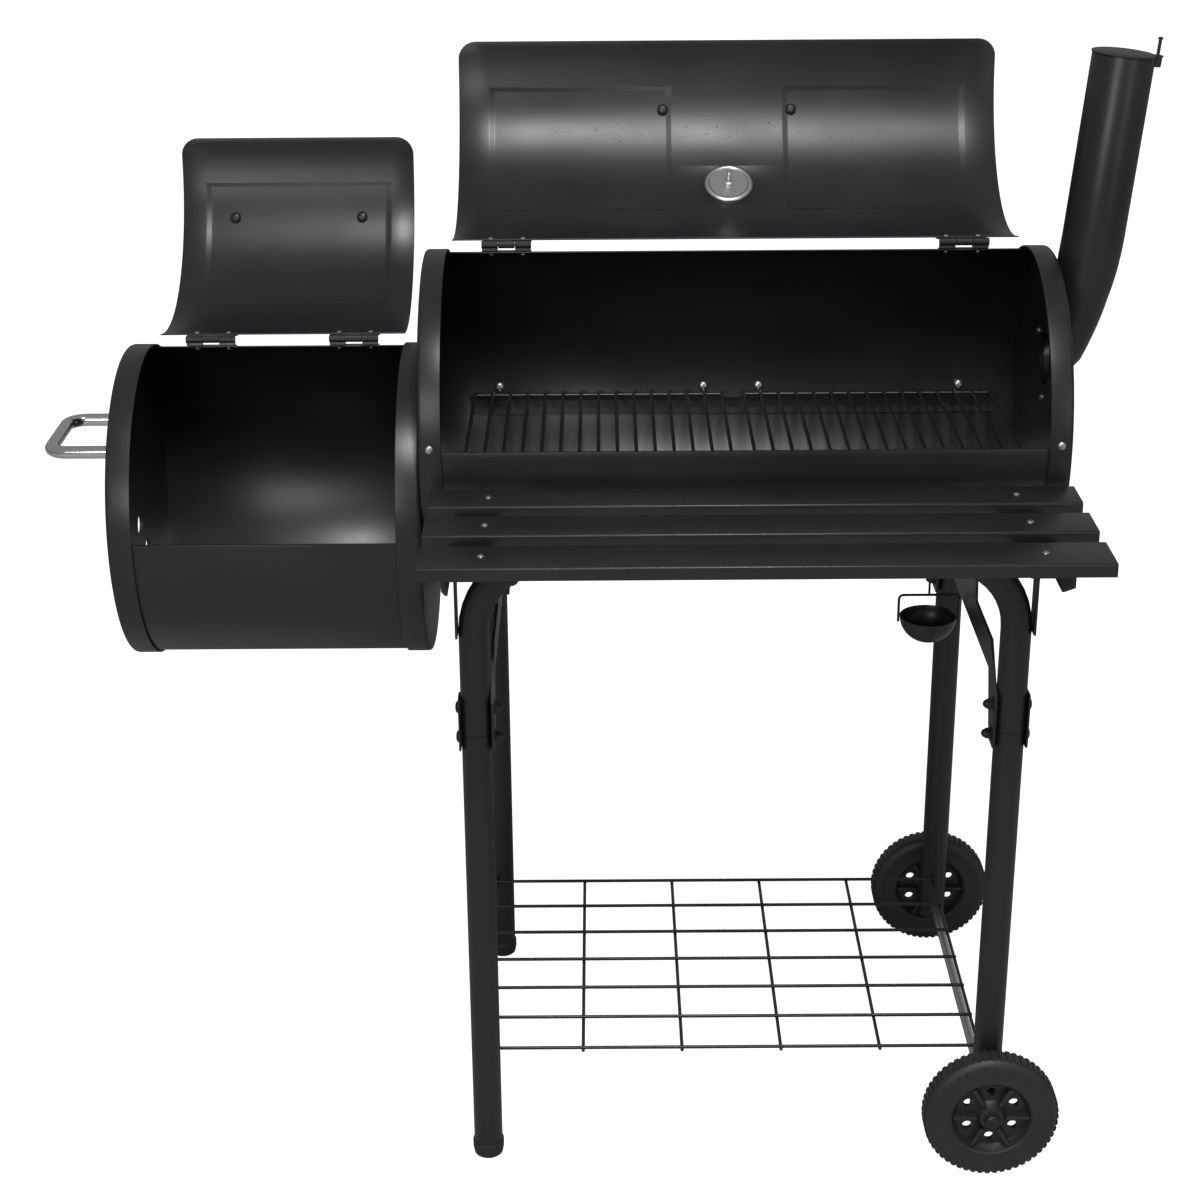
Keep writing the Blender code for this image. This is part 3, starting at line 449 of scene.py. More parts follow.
for drum in (BARREL, FIREBOX):
    rim = drum.radius
    profile = [(0, rim - RIM_BEND - CAP_DISH), (0, rim - RIM_BEND), (0.0006, rim - 0.0018),
               (0.0018, rim - 0.0006), (RIM_BEND, rim), (drum.flange - 0.0004, rim),
               (drum.flange, rim - 0.0004), (drum.flange, rim - 0.0014),
               (drum.flange - 0.0004, rim - CAP_WALL), (RIM_BEND, rim - CAP_WALL),
               (CAP_WALL + 0.0008, rim - CAP_WALL - 0.0008), (CAP_WALL, rim - RIM_BEND - 0.001),
               (CAP_WALL, rim - RIM_BEND - CAP_DISH)]
    for side, face, inward in (("left", drum.left, 1), ("right", drum.right, -1)):
        cap = lathe((face, drum.middle.y, drum.middle.z), X * inward, profile, 96)
        node = f"{drum.name}_end_{side}"
        if node in ("barrel_end_left", "firebox_end_right"):
            bore(cap, (face, drum.middle.y, THROAT_Z), X, THROAT_R)
        if node == "barrel_end_right":
            bore(cap, (face, drum.middle.y, CHIMNEY_Z), X, CHIMNEY_HOLE_R)
        if node == "firebox_end_left":
            for y, z in VENT_HOLES:
                bore(cap, (face, drum.middle.y + y, VENT_Z + z), X, VENT_HOLE_R)
        complete(cap, f"{drum.name}_cap_{side}", HEAT_PAINT, "smoker_body", "heat_paint", node)
    if drum is BARREL:
        screws = []
        for flange_middle in (drum.left + drum.flange / 2, drum.right - drum.flange / 2):
            for angle in CAP_SCREW_ANGLES:
                place = on_drum(drum.middle, rim, angle, flange_middle)
                screws.append(stand(place, on_drum(Vector(), 1.0, angle, 0)))
        complete(set_out(pan_head(CAP_SCREW_R, CAP_SCREW_RISE), screws), "barrel_cap_screws", ZINC,
                 "smoker_body", "zinc_bolt")


# ---- Lids -----------------------------------------------------------------------------------
# Curved lids of the same sheet, with two rounded free corners. Shallow rectangles are pressed
# into them for stiffness: two on the barrel's lid, one on the firebox's.
LID_OPEN = 178.0
LID_EDGE = 182.0
LID_SIDE_GAP = 0.0025
LID_CORNER = 0.020
LID_STEPS = 56
PANEL_TOP = 0.050
PANEL_LOW = 0.222
PANEL_STEP = 0.0042
PANEL_DEPTH = 0.0011
PANEL_RIM = 0.002
GAUGE_ANGLE = 123.0
GAUGE_R = 0.028
JOINT_PLACE = {joint["name"]: Vector(joint["pos_m"])
               for joint in frame["joints"] if "pos_m" in joint}


class Lid:
    """An open lid's drum axis, found by swinging its closed axis about the hinge."""

    def __init__(self, drum):
        self.drum = drum
        self.body = drum.name + "_lid"
        self.hinge = JOINT_PLACE[drum.name + "_lid_hinge"]
        closed = drum.middle - self.hinge
        self.middle = Matrix.Rotation(math.radians(-LID_OPEN), 3, "X") @ closed + self.hinge
        self.middle.x = drum.middle.x

    def at(self, angle, radius, x=0.0):
        """A point on the open lid, given by its closed angle, and the outward way there."""
        middle = Vector((0, self.middle.y, self.middle.z))
        out = on_drum(Vector(), 1.0, angle - LID_OPEN, 0)
        return on_drum(middle, radius, angle - LID_OPEN, self.middle.x + x), out


BARREL_LID = Lid(BARREL)
FIREBOX_LID = Lid(FIREBOX)
LID_PANELS = ((BARREL_LID, ((-0.275, -0.063), (0.063, 0.275))),
              (FIREBOX_LID, ((-0.109, 0.109),)))

for lid, panels in LID_PANELS:
    drum = lid.drum
    half = (drum.right - drum.left) / 2 - drum.flange - LID_SIDE_GAP
    outer = drum.radius - GAP
    sweep = LID_EDGE - HINGE_LINE - 1.0
    height = outer * math.radians(sweep)
    sheet = flat_sheet(-half, half, height)
    pick("verts", lambda place: place.z < 0.0001)
    bpy.ops.mesh.bevel(offset=LID_CORNER, segments=8, affect="VERTICES")
    score(X, [edge for panel in panels for edge in panel])
    score(Z, [PANEL_TOP, PANEL_LOW])
    for left, right in panels:
        pick("faces", lambda place: left < place.x < right and PANEL_TOP < place.z < PANEL_LOW)
        bpy.ops.mesh.inset(thickness=PANEL_RIM, depth=0)
        bpy.ops.mesh.inset(thickness=PANEL_STEP, depth=PANEL_DEPTH)
        bpy.ops.mesh.inset(thickness=PANEL_RIM, depth=0)
    score(Z, [height * k / LID_STEPS for k in range(1, LID_STEPS)])
    roll(sheet, lid.middle, outer, LID_EDGE - LID_OPEN, sweep)
    apply_modifier(sheet, "SOLIDIFY", thickness=SHEET, offset=-1)
    if lid is BARREL_LID:
        seat, out = lid.at(GAUGE_ANGLE, drum.radius)
        bore(sheet, seat, out, GAUGE_R + GAP)
    soften(sheet, EDGE_EASE)
    complete(sheet, drum.name + "_pressed_lid", HEAT_PAINT, lid.body, "heat_paint",
             drum.name + "_lid")


# ---- Hinges ---------------------------------------------------------------------------------
# Each lid hangs on two small leaf hinges at the rear. Their leaves are riveted to the sheet, so
# two rivet heads show inside the lid and two inside the drum.
HINGE_PLACES = ((BARREL_LID, 0.249), (FIREBOX_LID, 0.079))
RIVET_SPREAD = 0.0175
RIVET_LID_ANGLE = 77.5
RIVET_SHELL_ANGLE = 65.8
RIVET_DOME = [(0, 0.0032), (0.0006, 0.0032), (0.0013, 0.0026), (0.0018, 0.0014), (0.0019, 0.0004)]


def rivets(stands, name, body):
    """A rivet head at each of the stands."""
    complete(set_out(lathe((0, 0, 0), Z, RIVET_DOME, 20), stands), name, ZINC, body, "zinc_bolt")


def repaint(material, *nodes):
    """Gives a finish to pieces that stay as the CAD has them."""
    for node in nodes:
        bpy.data.objects[node].data.materials.clear()
        bpy.data.objects[node].data.materials.append(material)


for lid, spread in HINGE_PLACES:
    drum = lid.drum
    on_lid, on_shell = [], []
    for x in (-spread, spread):
        for side in (-RIVET_SPREAD, RIVET_SPREAD):
            place, out = lid.at(RIVET_LID_ANGLE, drum.radius - GAP - SHEET, x + side)
            on_lid.append(stand(place, -out))
            place = on_drum(drum.middle, drum.radius - SHELL_INSET - SHEET, RIVET_SHELL_ANGLE,
                            drum.middle.x + x + side)
            on_shell.append(stand(place, drum.middle - place - X * (drum.middle - place).x))
    rivets(on_lid, drum.name + "_lid_rivets", lid.body)
    rivets(on_shell, drum.name + "_shell_rivets", "smoker_body")
    repaint(HEAT_PAINT, *[f"{drum.name}_hinge_{side}_{leaf}_leaf"
                          for side in ("left", "right") for leaf in ("fixed", "lid")])


# ---- Lid handles ----------------------------------------------------------------------------
# A bent round bar across the outside of each lid, on two collars. A dark screw through each end
# shows on the inside of the lid.
def bent_bar(corners, radius, bend=0.0, sides=20):
    """A round bar through some corners, each turned round a bend."""
    let_go()
    corners = [Vector(corner) for corner in corners]
    place = corners[0]
    heading = (corners[1] - place).normalized()
    bpy.ops.mesh.primitive_circle_add(vertices=sides, radius=radius, fill_type="NGON",
                                      location=place,
                                      rotation=heading.to_track_quat("Z", "Y").to_euler())
    piece = settle()
    for corner, after in zip(corners[1:], corners[2:]):
        onward = (after - corner).normalized()
        angle = heading.angle(onward)
        foot = corner - heading * bend * math.tan(angle / 2)
        inward = (onward - heading * heading.dot(onward)).normalized()
        bpy.ops.mesh.extrude_region_move(TRANSFORM_OT_translate={"value": foot - place})
        bpy.ops.mesh.spin(steps=max(4, round(math.degrees(angle) / 9)), angle=angle,
                          center=foot + inward * bend, axis=inward.cross(heading))
        place = corner + onward * bend * math.tan(angle / 2)
        heading = onward
    bpy.ops.mesh.extrude_region_move(TRANSFORM_OT_translate={"value": corners[-1] - place})
    bpy.ops.mesh.select_all(action="SELECT")
    bpy.ops.mesh.remove_doubles(threshold=0.00001)
    bpy.ops.mesh.normals_make_consistent(inside=False)
    let_go()
    return piece


GRIP_SPAN = 0.148
GRIP_REACH = 0.045
GRIP_R = 0.006
GRIP_BEND = 0.016
GRIP_COLLAR = [(0, 0.0095), (0.0012, 0.0095), (0.0020, 0.0085), (0.0050, 0.0080), (0.0056, 0.0070),
               (0.0056, 0.0058)]
GRIP_ANGLES = ((BARREL_LID, 156.0), (FIREBOX_LID, 150.7))
GRIP_SCREW_R = 0.0062
GRIP_SCREW_RISE = 0.0034

for lid, angle in GRIP_ANGLES:
    drum = lid.drum
    left, out = lid.at(angle, drum.radius, -GRIP_SPAN / 2)
    right = left + X * GRIP_SPAN
    reach = out * GRIP_REACH
    grip = bent_bar([left, left + reach, right + reach, right], GRIP_R, GRIP_BEND)
    collars = set_out(lathe((0, 0, 0), Z, GRIP_COLLAR, 28), [stand(left, out), stand(right, out)])
    grip = join([grip, collars])
    complete(grip, drum.name + "_lid_grip", HEAT_PAINT, lid.body, "heat_paint",
             drum.name + "_lid_handle")
    inner = [stand(place - out * (GAP + SHEET), -out) for place in (left, right)]
    complete(set_out(pan_head(GRIP_SCREW_R, GRIP_SCREW_RISE), inner), drum.name + "_grip_screws",
             HEAT_PAINT, lid.body, "heat_paint")


# ---- Thermometer ----------------------------------------------------------------------------
# A steel dial in a hole of the barrel's lid: its round back and short probe show inside, the
# bezel, the white dial with its ticks and the needle outside.
BEZEL_R = GAUGE_R + 0.004
DIAL_FOOT = 0.0080
NEEDLE_FOOT = 0.0097
TICK_COUNT = 21
TICK_START = -135.0
TICK_STEP = 13.5
TICK_CIRCLE = 0.0222
TICK_FOOT = 0.00895
TICK_SIZE = (0.0008, 0.0042, 0.0004)
NEEDLE_SIZE = (0.0018, 0.028, 0.0006)
NEEDLE_OFFSET = 0.007
NEEDLE_TAPER = 0.25
GAUGE_STEEL = steel("gauge_steel", (0.66, 0.66, 0.65), 0.26)
seat, out = BARREL_LID.at(GAUGE_ANGLE, BARREL.radius)
case_profile = [(-0.0080, 0.006), (-0.0080, 0.0215), (-0.0090, 0.0225), (-0.0094, 0.0240),
                (-0.0090, 0.0262), (-0.0078, 0.0276), (-0.0060, GAUGE_R), (0.0030, GAUGE_R),
                (0.0030, BEZEL_R - 0.0008), (0.0038, BEZEL_R), (0.0095, BEZEL_R),
                (0.0114, BEZEL_R - 0.0012), (0.0120, BEZEL_R - 0.0028), (0.0112, GAUGE_R + 0.0002),
                (0.0088, GAUGE_R - 0.0006)]
case = lathe(seat, out, case_profile, 72)
probe_profile = [(0, 0.0055), (0.0050, 0.0055), (0.0056, 0.0030), (0.0190, 0.0030),
                 (0.0200, 0.0018)]
probe = lathe(seat - out * 0.006, -out, probe_profile, 24)
complete(join([case, probe]), "gauge_case", GAUGE_STEEL, "barrel_lid", "gauge_steel",
         "thermometer_case")

dial_white, dial_shader, shade = coating("gauge_dial")
wear(shade, dial_shader, shade.noise(40.0).tint((0.74, 0.74, 0.72), (0.80, 0.80, 0.78)),
     shade.noise(200.0) * 0.1 + 0.3, shade.noise(900.0) * 0.000003)
dial_profile = [(0, GAUGE_R - 0.0008), (0.0009, GAUGE_R - 0.0008), (0.0010, 0.002)]
dial = lathe(seat + out * DIAL_FOOT, out, dial_profile, 72)
complete(dial, "gauge_dial", dial_white, "barrel_lid", "gauge_steel")


def block(place, size):
    """A plain block at a place, opened for editing."""
    let_go()
    bpy.ops.mesh.primitive_cube_add(size=1, location=place)
    bpy.context.object.scale = size
    return settle()


across = out.cross(X).normalized()
ticks = []
for k in range(TICK_COUNT):
    turn = math.radians(TICK_START + TICK_STEP * k)
    way = X * math.sin(turn) + across * math.cos(turn)
    ticks.append(stand(seat + out * TICK_FOOT + way * TICK_CIRCLE, out, way))
tick = block((0, 0, 0), TICK_SIZE)
soften(tick, 0.0001, 1)
complete(set_out(tick, ticks), "gauge_ticks", HEAT_PAINT, "barrel_lid", "heat_paint")
needle = block((0, NEEDLE_OFFSET, 0), NEEDLE_SIZE)
pick("verts", lambda place: place.y > 0)
bpy.ops.transform.resize(value=(NEEDLE_TAPER, 1, 1), center_override=(0, 0, 0))
boss = lathe((0, 0, -0.0003), Z, [(0, 0.0030), (0.0012, 0.0030), (0.0016, 0.0022)], 24)
needle = join([needle, boss])
soften(needle, 0.0001, 1)
needle = set_out(needle, [stand(seat + out * NEEDLE_FOOT, out, X)])
complete(needle, "gauge_pointer", HEAT_PAINT, "gauge_needle", "heat_paint", "thermometer_needle")


# ---- Chimney --------------------------------------------------------------------------------
# A thin pipe that leaves the right end cap through a flange, turns up in a tight elbow and leans
# a little outward. A round damper plate turns on a pin at its mouth.
CHIMNEY_R = 0.0325
CHIMNEY_WALL = 0.0015
FOOT_STRETCH = 1.108
# The elbow's inner edge: how far out of the end cap, how high, and the pipe's rise in degrees.
ELBOW = ((0.0030, 0.924, 30.0), (0.0036, 0.945, 43.8), (0.0044, 0.968, 59.8),
         (0.0064, 0.986, 73.8), (0.0088, 1.006, 84.8))
ELBOW_STEPS = 5
STRAIGHT_LENGTH = 0.190
FLANGE_R = 0.050
FLANGE_THICK = 0.0024
FLANGE_BOLTS = (28.0, 148.0, 268.0)
FLANGE_BOLT_CIRCLE = 0.0435
FLANGE_BOLT_R = 0.0042
FLANGE_BOLT_RISE = 0.0028

base = BARREL.right + GAP
foot = Vector((base, BARREL.middle.y, CHIMNEY_Z))


def heading_at(elevation):
    """The way that points outward from the right end and rises by some degrees."""
    return Vector((math.cos(math.radians(elevation)), 0, math.sin(math.radians(elevation))))


edge_points = [(0.0, CHIMNEY_Z + CHIMNEY_R * FOOT_STRETCH, 0.0), *ELBOW]
rings = [(foot, 0.0)]
for (x, z, tilt), (next_x, next_z, next_tilt) in zip(edge_points, edge_points[1:]):
    for k in range(1, ELBOW_STEPS + 1):
        u = k / ELBOW_STEPS
        lean = tilt + (next_tilt - tilt) * u
        inner_edge = Vector((base + x + (next_x - x) * u, foot.y, z + (next_z - z) * u))
        rings.append((inner_edge + heading_at(lean - 90) * CHIMNEY_R, lean))
elbow_end, lean = rings[-1]
chimney_up = heading_at(lean)
mouth = elbow_end + chimney_up * STRAIGHT_LENGTH
rings.append((mouth, lean))

let_go()
bpy.ops.mesh.primitive_circle_add(vertices=56, radius=CHIMNEY_R, fill_type="NOTHING",
                                  location=foot, rotation=(0, math.radians(90), 0))
pipe = settle()
bpy.ops.transform.resize(value=(1, 1, FOOT_STRETCH), center_override=foot)
for (place, tilt), (onward, next_tilt) in zip(rings, rings[1:]):
    bpy.ops.mesh.extrude_region_move(TRANSFORM_OT_translate={"value": onward - place})
    if tilt == 0.0:
        bpy.ops.transform.resize(value=(1, 1, 1 / FOOT_STRETCH), center_override=onward)
    bpy.ops.transform.rotate(value=math.radians(next_tilt - tilt), orient_axis="Y",
                             center_override=onward)
bpy.ops.mesh.select_all(action="SELECT")
bpy.ops.mesh.normals_make_consistent(inside=False)
let_go()
apply_modifier(pipe, "SOLIDIFY", thickness=CHIMNEY_WALL, offset=-1)
flange_profile = [(0, CHIMNEY_HOLE_R), (0, FLANGE_R - 0.0004), (0.0004, FLANGE_R), (0.0018, FLANGE_R),
                  (FLANGE_THICK, FLANGE_R - 0.0006), (FLANGE_THICK, CHIMNEY_R)]
flange = lathe(foot, X, flange_profile, 64)
bore(flange, foot, X, CHIMNEY_HOLE_R)
pipe = join([pipe, flange])
soften(pipe, 0.0004)
lug_place = mouth + heading_at(lean - 90) * (CHIMNEY_R + 0.0025)
lug_profile = [(0, 0.0044), (0.0006, 0.005), (0.010, 0.005)]
lug = lathe(lug_place - chimney_up * 0.010, chimney_up, lug_profile, 28)
pipe = join([pipe, lug])
complete(pipe, "chimney_flue", HEAT_PAINT, "smoker_body", "heat_paint", "chimney_pipe")
bolts = []
for turn in FLANGE_BOLTS:
    way = Y * math.cos(math.radians(turn)) + Z * math.sin(math.radians(turn))
    bolts.append(stand(foot + way * FLANGE_BOLT_CIRCLE - X * (GAP + CAP_WALL), -X))
    bolts.append(stand(foot + way * FLANGE_BOLT_CIRCLE + X * FLANGE_THICK, X))
complete(set_out(pan_head(FLANGE_BOLT_R, FLANGE_BOLT_RISE), bolts), "chimney_bolts", ZINC,
         "smoker_body", "zinc_bolt")

damper = lathe(mouth + chimney_up * GAP, chimney_up,
               [(0, CHIMNEY_R + 0.0006), (0.0004, CHIMNEY_R + 0.001), (0.0012, CHIMNEY_R + 0.001),
                (0.0016, CHIMNEY_R + 0.0004), (0.0016, 0.024), (0.0022, 0.022), (0.0022, 0.004)], 64)
ear = lathe(lug_place + chimney_up * GAP, chimney_up,
            [(0, 0.0056), (0.0004, 0.006), (0.0014, 0.006), (0.0017, 0.0055)], 28)
pin = lathe(lug_place + chimney_up * 0.0008, chimney_up,
            [(0, 0.0018), (0.0168, 0.0018), (0.0174, 0.0026), (0.0190, 0.0026), (0.0196, 0.0018)], 20)
complete(join([damper, ear, pin]), "damper_plate", HEAT_PAINT, "damper_disc", "heat_paint",
         "chimney_damper")


# ---- Firebox side handle and air vent -------------------------------------------------------
# A chromed round bar bent into a grip sticks out of the firebox's left end; below it a plate
# with three holes turns on a knob to let air in.
CHROME = steel("bright_chrome", (0.80, 0.80, 0.81), 0.07, 0.0)
GRIP_Z = 0.787
GRIP_HALF = 0.057
SIDE_REACH = 0.079
SIDE_R = 0.007
SIDE_BEND = 0.020
end_face = FIREBOX.left - GAP
middle = FIREBOX.middle.y
rear, front = middle + GRIP_HALF, middle - GRIP_HALF
side_grip = bent_bar([(end_face, rear, GRIP_Z), (end_face - SIDE_REACH, rear, GRIP_Z),
                      (end_face - SIDE_REACH, front, GRIP_Z), (end_face, front, GRIP_Z)],
                     SIDE_R, SIDE_BEND, 32)
boss = [(0, 0.0115), (0.0014, 0.0115), (0.0022, 0.0105), (0.0022, 0.0068)]
bosses = set_out(lathe((0, 0, 0), Z, boss, 32), [stand((end_face, rear, GRIP_Z), -X),
                                                 stand((end_face, front, GRIP_Z), -X)])
complete(join([side_grip, bosses]), "firebox_side_grip", CHROME, "smoker_body", "bright_chrome",
         "firebox_side_handle")

VENT_R = 0.050
TAB_SIZE = (0.015, 0.003, 0.018)
hub = Vector((end_face, middle, VENT_Z))
vent_profile = [(0, VENT_R - 0.0004), (0.0004, VENT_R), (0.0012, VENT_R), (0.0016, VENT_R - 0.0006),
                (0.0016, 0.0085), (0.0024, 0.0078), (0.0024, 0.0060), (0.0090, 0.0048),
                (0.0100, 0.0060), (0.0115, 0.0060), (0.0120, 0.0052)]
vent = lathe(hub, -X, vent_profile, 64)
for y, z in VENT_HOLES:
    bore(vent, hub + Y * y + Z * z, X, VENT_HOLE_R)
tab = block(hub + Vector((-0.0085, 0, -VENT_R - 0.003)), TAB_SIZE)
soften(tab, 0.0008)
complete(join([vent, tab]), "air_vent_plate", HEAT_PAINT, "air_vent", "heat_paint",
         "firebox_air_damper")


# ---- Cooking grates and their rails ---------------------------------------------------------
# Two grates of round enamelled wire lie side by side on an angled rail along each wall of the
# barrel. Small bright screws hold the rails, and their heads show on the inside of both walls.
ENAMEL = paint("enamelled_wire", (0.010, 0.010, 0.011), (0.020, 0.020, 0.021), 0.24, 0.0, 0.000006)
GRATE_WIRE_R = 0.002
GRATE_WIRES = 15
GRATE_WELD_RISE = 0.0026
GRATE_END = 0.0025
RAIL_SCREWS = (-0.265, -0.028, 0.036, 0.269)
RAIL_SCREW_Z = 0.788
RAIL_SCREW_R = 0.0057
RAIL_SCREW_RISE = 0.0036


def wires(radius, runs):
    """Round wires with eased ends, from start to end of each run, as one piece."""
    group = []
    ease = radius * 0.4
    for start, end in runs:
        way = Vector(end) - Vector(start)
        profile = [(0, radius - ease), (ease, radius), (way.length - ease, radius),
                   (way.length, radius - ease)]
        group.append(lathe(start, way, profile, 14))
    return join(group)


for side in ("left", "right"):
    low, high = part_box("cooking_grate_" + side)
    level = high.z - GRATE_WIRE_R
    step = (high.x - low.x - 2 * GRATE_WIRE_R) / (GRATE_WIRES - 1)
    runs = []
    for k in range(GRATE_WIRES):
        x = low.x + GRATE_WIRE_R + k * step
        runs.append(((x, low.y, level + GRATE_WELD_RISE), (x, high.y, level + GRATE_WELD_RISE)))
    for y in (low.y + GRATE_END, high.y - GRATE_END):
        runs.append(((low.x, y, level), (high.x, y, level)))
    complete(wires(GRATE_WIRE_R, runs), "wire_grate_" + side, ENAMEL, "grate_" + side,
             "enamelled_wire", "cooking_grate_" + side)
repaint(HEAT_PAINT, "grate_rail_front", "grate_rail_rear")
inner = BARREL.radius - SHELL_INSET - SHEET
rise = RAIL_SCREW_Z - BARREL.middle.z
screws = []
for x in RAIL_SCREWS:
    for side in (-1, 1):
        reach = side * math.sqrt(inner ** 2 - rise ** 2)
        place = BARREL.middle + Vector((x, reach, rise))
        screws.append(stand(place, Vector((0, -reach, -rise))))
complete(set_out(pan_head(RAIL_SCREW_R, RAIL_SCREW_RISE), screws), "rail_screws", ZINC,
         "smoker_body", "zinc_bolt")


# ---- Front shelf ----------------------------------------------------------------------------
# Three slats of sheet, folded down along both edges and screwed to a bracket on each side. The
# brackets and the braces at the frame's ends have the frame's own paint.
SLAT_SCREWS = (-0.262, 0.273)
SLAT_SCREW_R = 0.0036
SLAT_SCREW_RISE = 0.0018
SLAT_FOLD = 0.0022
screws = []
for row in ("rear", "middle", "front"):
    low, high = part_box("shelf_slat_" + row)
    middle = (low + high) / 2
    slat = block(middle, high - low)
    pick("faces", lambda place: place.z < low.z + 0.001 or abs(place.x - middle.x) > 0.3)
    bpy.ops.mesh.delete(type="FACE")
    pick("edges", lambda place: place.z > high.z - 0.0001 and abs(place.x - middle.x) < 0.1)
    bpy.ops.mesh.bevel(offset=SLAT_FOLD, segments=4, affect="EDGES")
    apply_modifier(slat, "SOLIDIFY", thickness=SHEET, offset=-1)
    soften(slat, 0.0003)
    complete(slat, "folded_slat_" + row, HEAT_PAINT, "smoker_body", "heat_paint",
             "shelf_slat_" + row)
    for x in SLAT_SCREWS:
        screws.append(stand((BARREL.middle.x + x, middle.y, high.z), Z))
complete(set_out(pan_head(SLAT_SCREW_R, SLAT_SCREW_RISE), screws), "slat_screws", ZINC,
         "smoker_body", "zinc_bolt")

FRAME_PAINT = paint("frame_paint", (0.0085, 0.009, 0.010), (0.018, 0.018, 0.020), 0.34, 0.0)
repaint(FRAME_PAINT, "shelf_bracket_left", "shelf_bracket_right", "end_brace_left",
        "end_brace_right")


# ---- Frame and legs -------------------------------------------------------------------------
# A round tube bent into a bridge at the front and one at the rear; each stands on two straight
# legs, joined by outside plates, bolts and cone nuts. The left legs end in plastic feet.
TUBE_R = 0.016
TUBE_WALL = 0.0015
JOINT_Z = 0.530
TOP_BEND = 0.080
PLATE_CORNER = 0.006
BOLT_HEIGHTS = (0.524, 0.558)
BOLT_HEAD_R = 0.0065
BOLT_HEAD_RISE = 0.0034
BOLT_HEAD_FOOT = TUBE_R + 0.0023
NUT_FOOT = TUBE_R + 0.0033
bolt_stands, nut_stands = [], []
for row in ("front", "rear"):
    low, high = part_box("upper_frame_" + row)
    y = (low.y + high.y) / 2
    left, right, top = low.x + TUBE_R, high.x - TUBE_R, high.z - TUBE_R
    bridge = bent_bar([(left, y, JOINT_Z + GAP), (left, y, top), (right, y, top),
                       (right, y, JOINT_Z + GAP)], TUBE_R, TOP_BEND, 36)
    complete(bridge, "tube_bridge_" + row, FRAME_PAINT, "smoker_body", "frame_paint",
             "upper_frame_" + row)
    for side, x, way in (("left", left, -X), ("right", right, X)):
        foot_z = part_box(f"leg_{row}_{side}")[0].z
        leg_profile = [(0.05, TUBE_R - TUBE_WALL), (0, TUBE_R - TUBE_WALL), (0, TUBE_R - 0.0003),
                       (0.0003, TUBE_R), (JOINT_Z - foot_z - 0.0006, TUBE_R),
                       (JOINT_Z - foot_z, TUBE_R - 0.0006)]
        leg = lathe((x, y, foot_z), Z, leg_profile, 36)
        complete(leg, f"tube_leg_{row}_{side}", FRAME_PAINT, "smoker_body", "frame_paint",
                 f"leg_{row}_{side}")
        node = f"joint_plate_{row}_{side}"
        low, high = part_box(node)
        middle = (low + high) / 2
        splice = block(middle, high - low)
        pick("edges", lambda place: abs(place.y - y) > 0.01 and abs(place.z - middle.z) > 0.02)
        bpy.ops.mesh.bevel(offset=PLATE_CORNER, segments=5, affect="EDGES")
        soften(splice, EDGE_EASE)
        complete(splice, f"splice_{row}_{side}", FRAME_PAINT, "smoker_body", "frame_paint", node)
        for z in BOLT_HEIGHTS:
            bolt_stands.append(stand(Vector((x, y, z)) + way * BOLT_HEAD_FOOT, way))
            nut_stands.append(stand(Vector((x, y, z)) - way * NUT_FOOT, -way))
joint_bolts = [f"joint_bolt_{row}_{side}" for row in ("front", "rear") for side in ("left", "right")]
complete(set_out(pan_head(BOLT_HEAD_R, BOLT_HEAD_RISE), bolt_stands), "joint_bolt_heads",
         FRAME_PAINT, "smoker_body", "frame_paint", *joint_bolts)
washer = lathe((0, 0, 0), Z, [(0, 0.0078), (0.0010, 0.0078), (0.0012, 0.0074)], 28)
nut = lathe((0, 0, 0.0010), Z, [(0, 0.0064), (0.0042, 0.0064), (0.0048, 0.0056)], 6)
cone_profile = [(0, 0.0050), (0.0022, 0.0046), (0.0042, 0.0032), (0.0052, 0.0014)]
cone = lathe((0, 0, 0.0050), Z, cone_profile, 24)
complete(set_out(join([washer, nut, cone]), nut_stands), "joint_cone_nuts", FRAME_PAINT,
         "smoker_body", "frame_paint")

FOOT_PLASTIC = paint("foot_plastic", (0.012, 0.012, 0.013), (0.018, 0.018, 0.019), 0.5, 0.0,
                     0.00002)
FOOT_PROFILE = [(0, 0.0110), (0.0008, 0.0140), (0.0025, 0.0160), (0.0100, 0.0175), (0.0190, 0.0175),
                (0.0198, 0.0170), (0.0200, 0.0162)]
for row in ("front", "rear"):
    low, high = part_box("foot_cap_" + row)
    middle = (low + high) / 2
    cap = lathe((middle.x, middle.y, low.z), Z, FOOT_PROFILE, 36)
    complete(cap, "leg_foot_" + row, FOOT_PLASTIC, "smoker_body", "foot_plastic",
             "foot_cap_" + row)


# ---- Bottom wire shelf ----------------------------------------------------------------------
# Seven long wires are welded on six cross wires, all enamelled like the grates. The two outer
# cross wires reach the legs.
SHELF_WIRE_R = 0.002
SHELF_WELD_RISE = 0.0016
SHELF_HALF = 0.191
LONG_WIRES = 7
CROSS_WIRES = 6
low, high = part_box("bottom_shelf")
middle = (low + high) / 2
upper, lower = middle.z + SHELF_WELD_RISE, middle.z - SHELF_WELD_RISE
runs = []
for k in range(LONG_WIRES):
    y = middle.y - SHELF_HALF + k * 2 * SHELF_HALF / (LONG_WIRES - 1)
    runs.append(((low.x, y, upper), (high.x, y, upper)))
for k in range(CROSS_WIRES):
    x = low.x + SHELF_WIRE_R + k * (high.x - low.x - 2 * SHELF_WIRE_R) / (CROSS_WIRES - 1)
    outermost = k in (0, CROSS_WIRES - 1)
    reach = (high.y - low.y) / 2 if outermost else SHELF_HALF + SHELF_WIRE_R
    runs.append(((x, middle.y - reach, lower), (x, middle.y + reach, lower)))
complete(wires(SHELF_WIRE_R, runs), "wire_shelf", ENAMEL, "smoker_body", "enamelled_wire",
         "bottom_shelf")


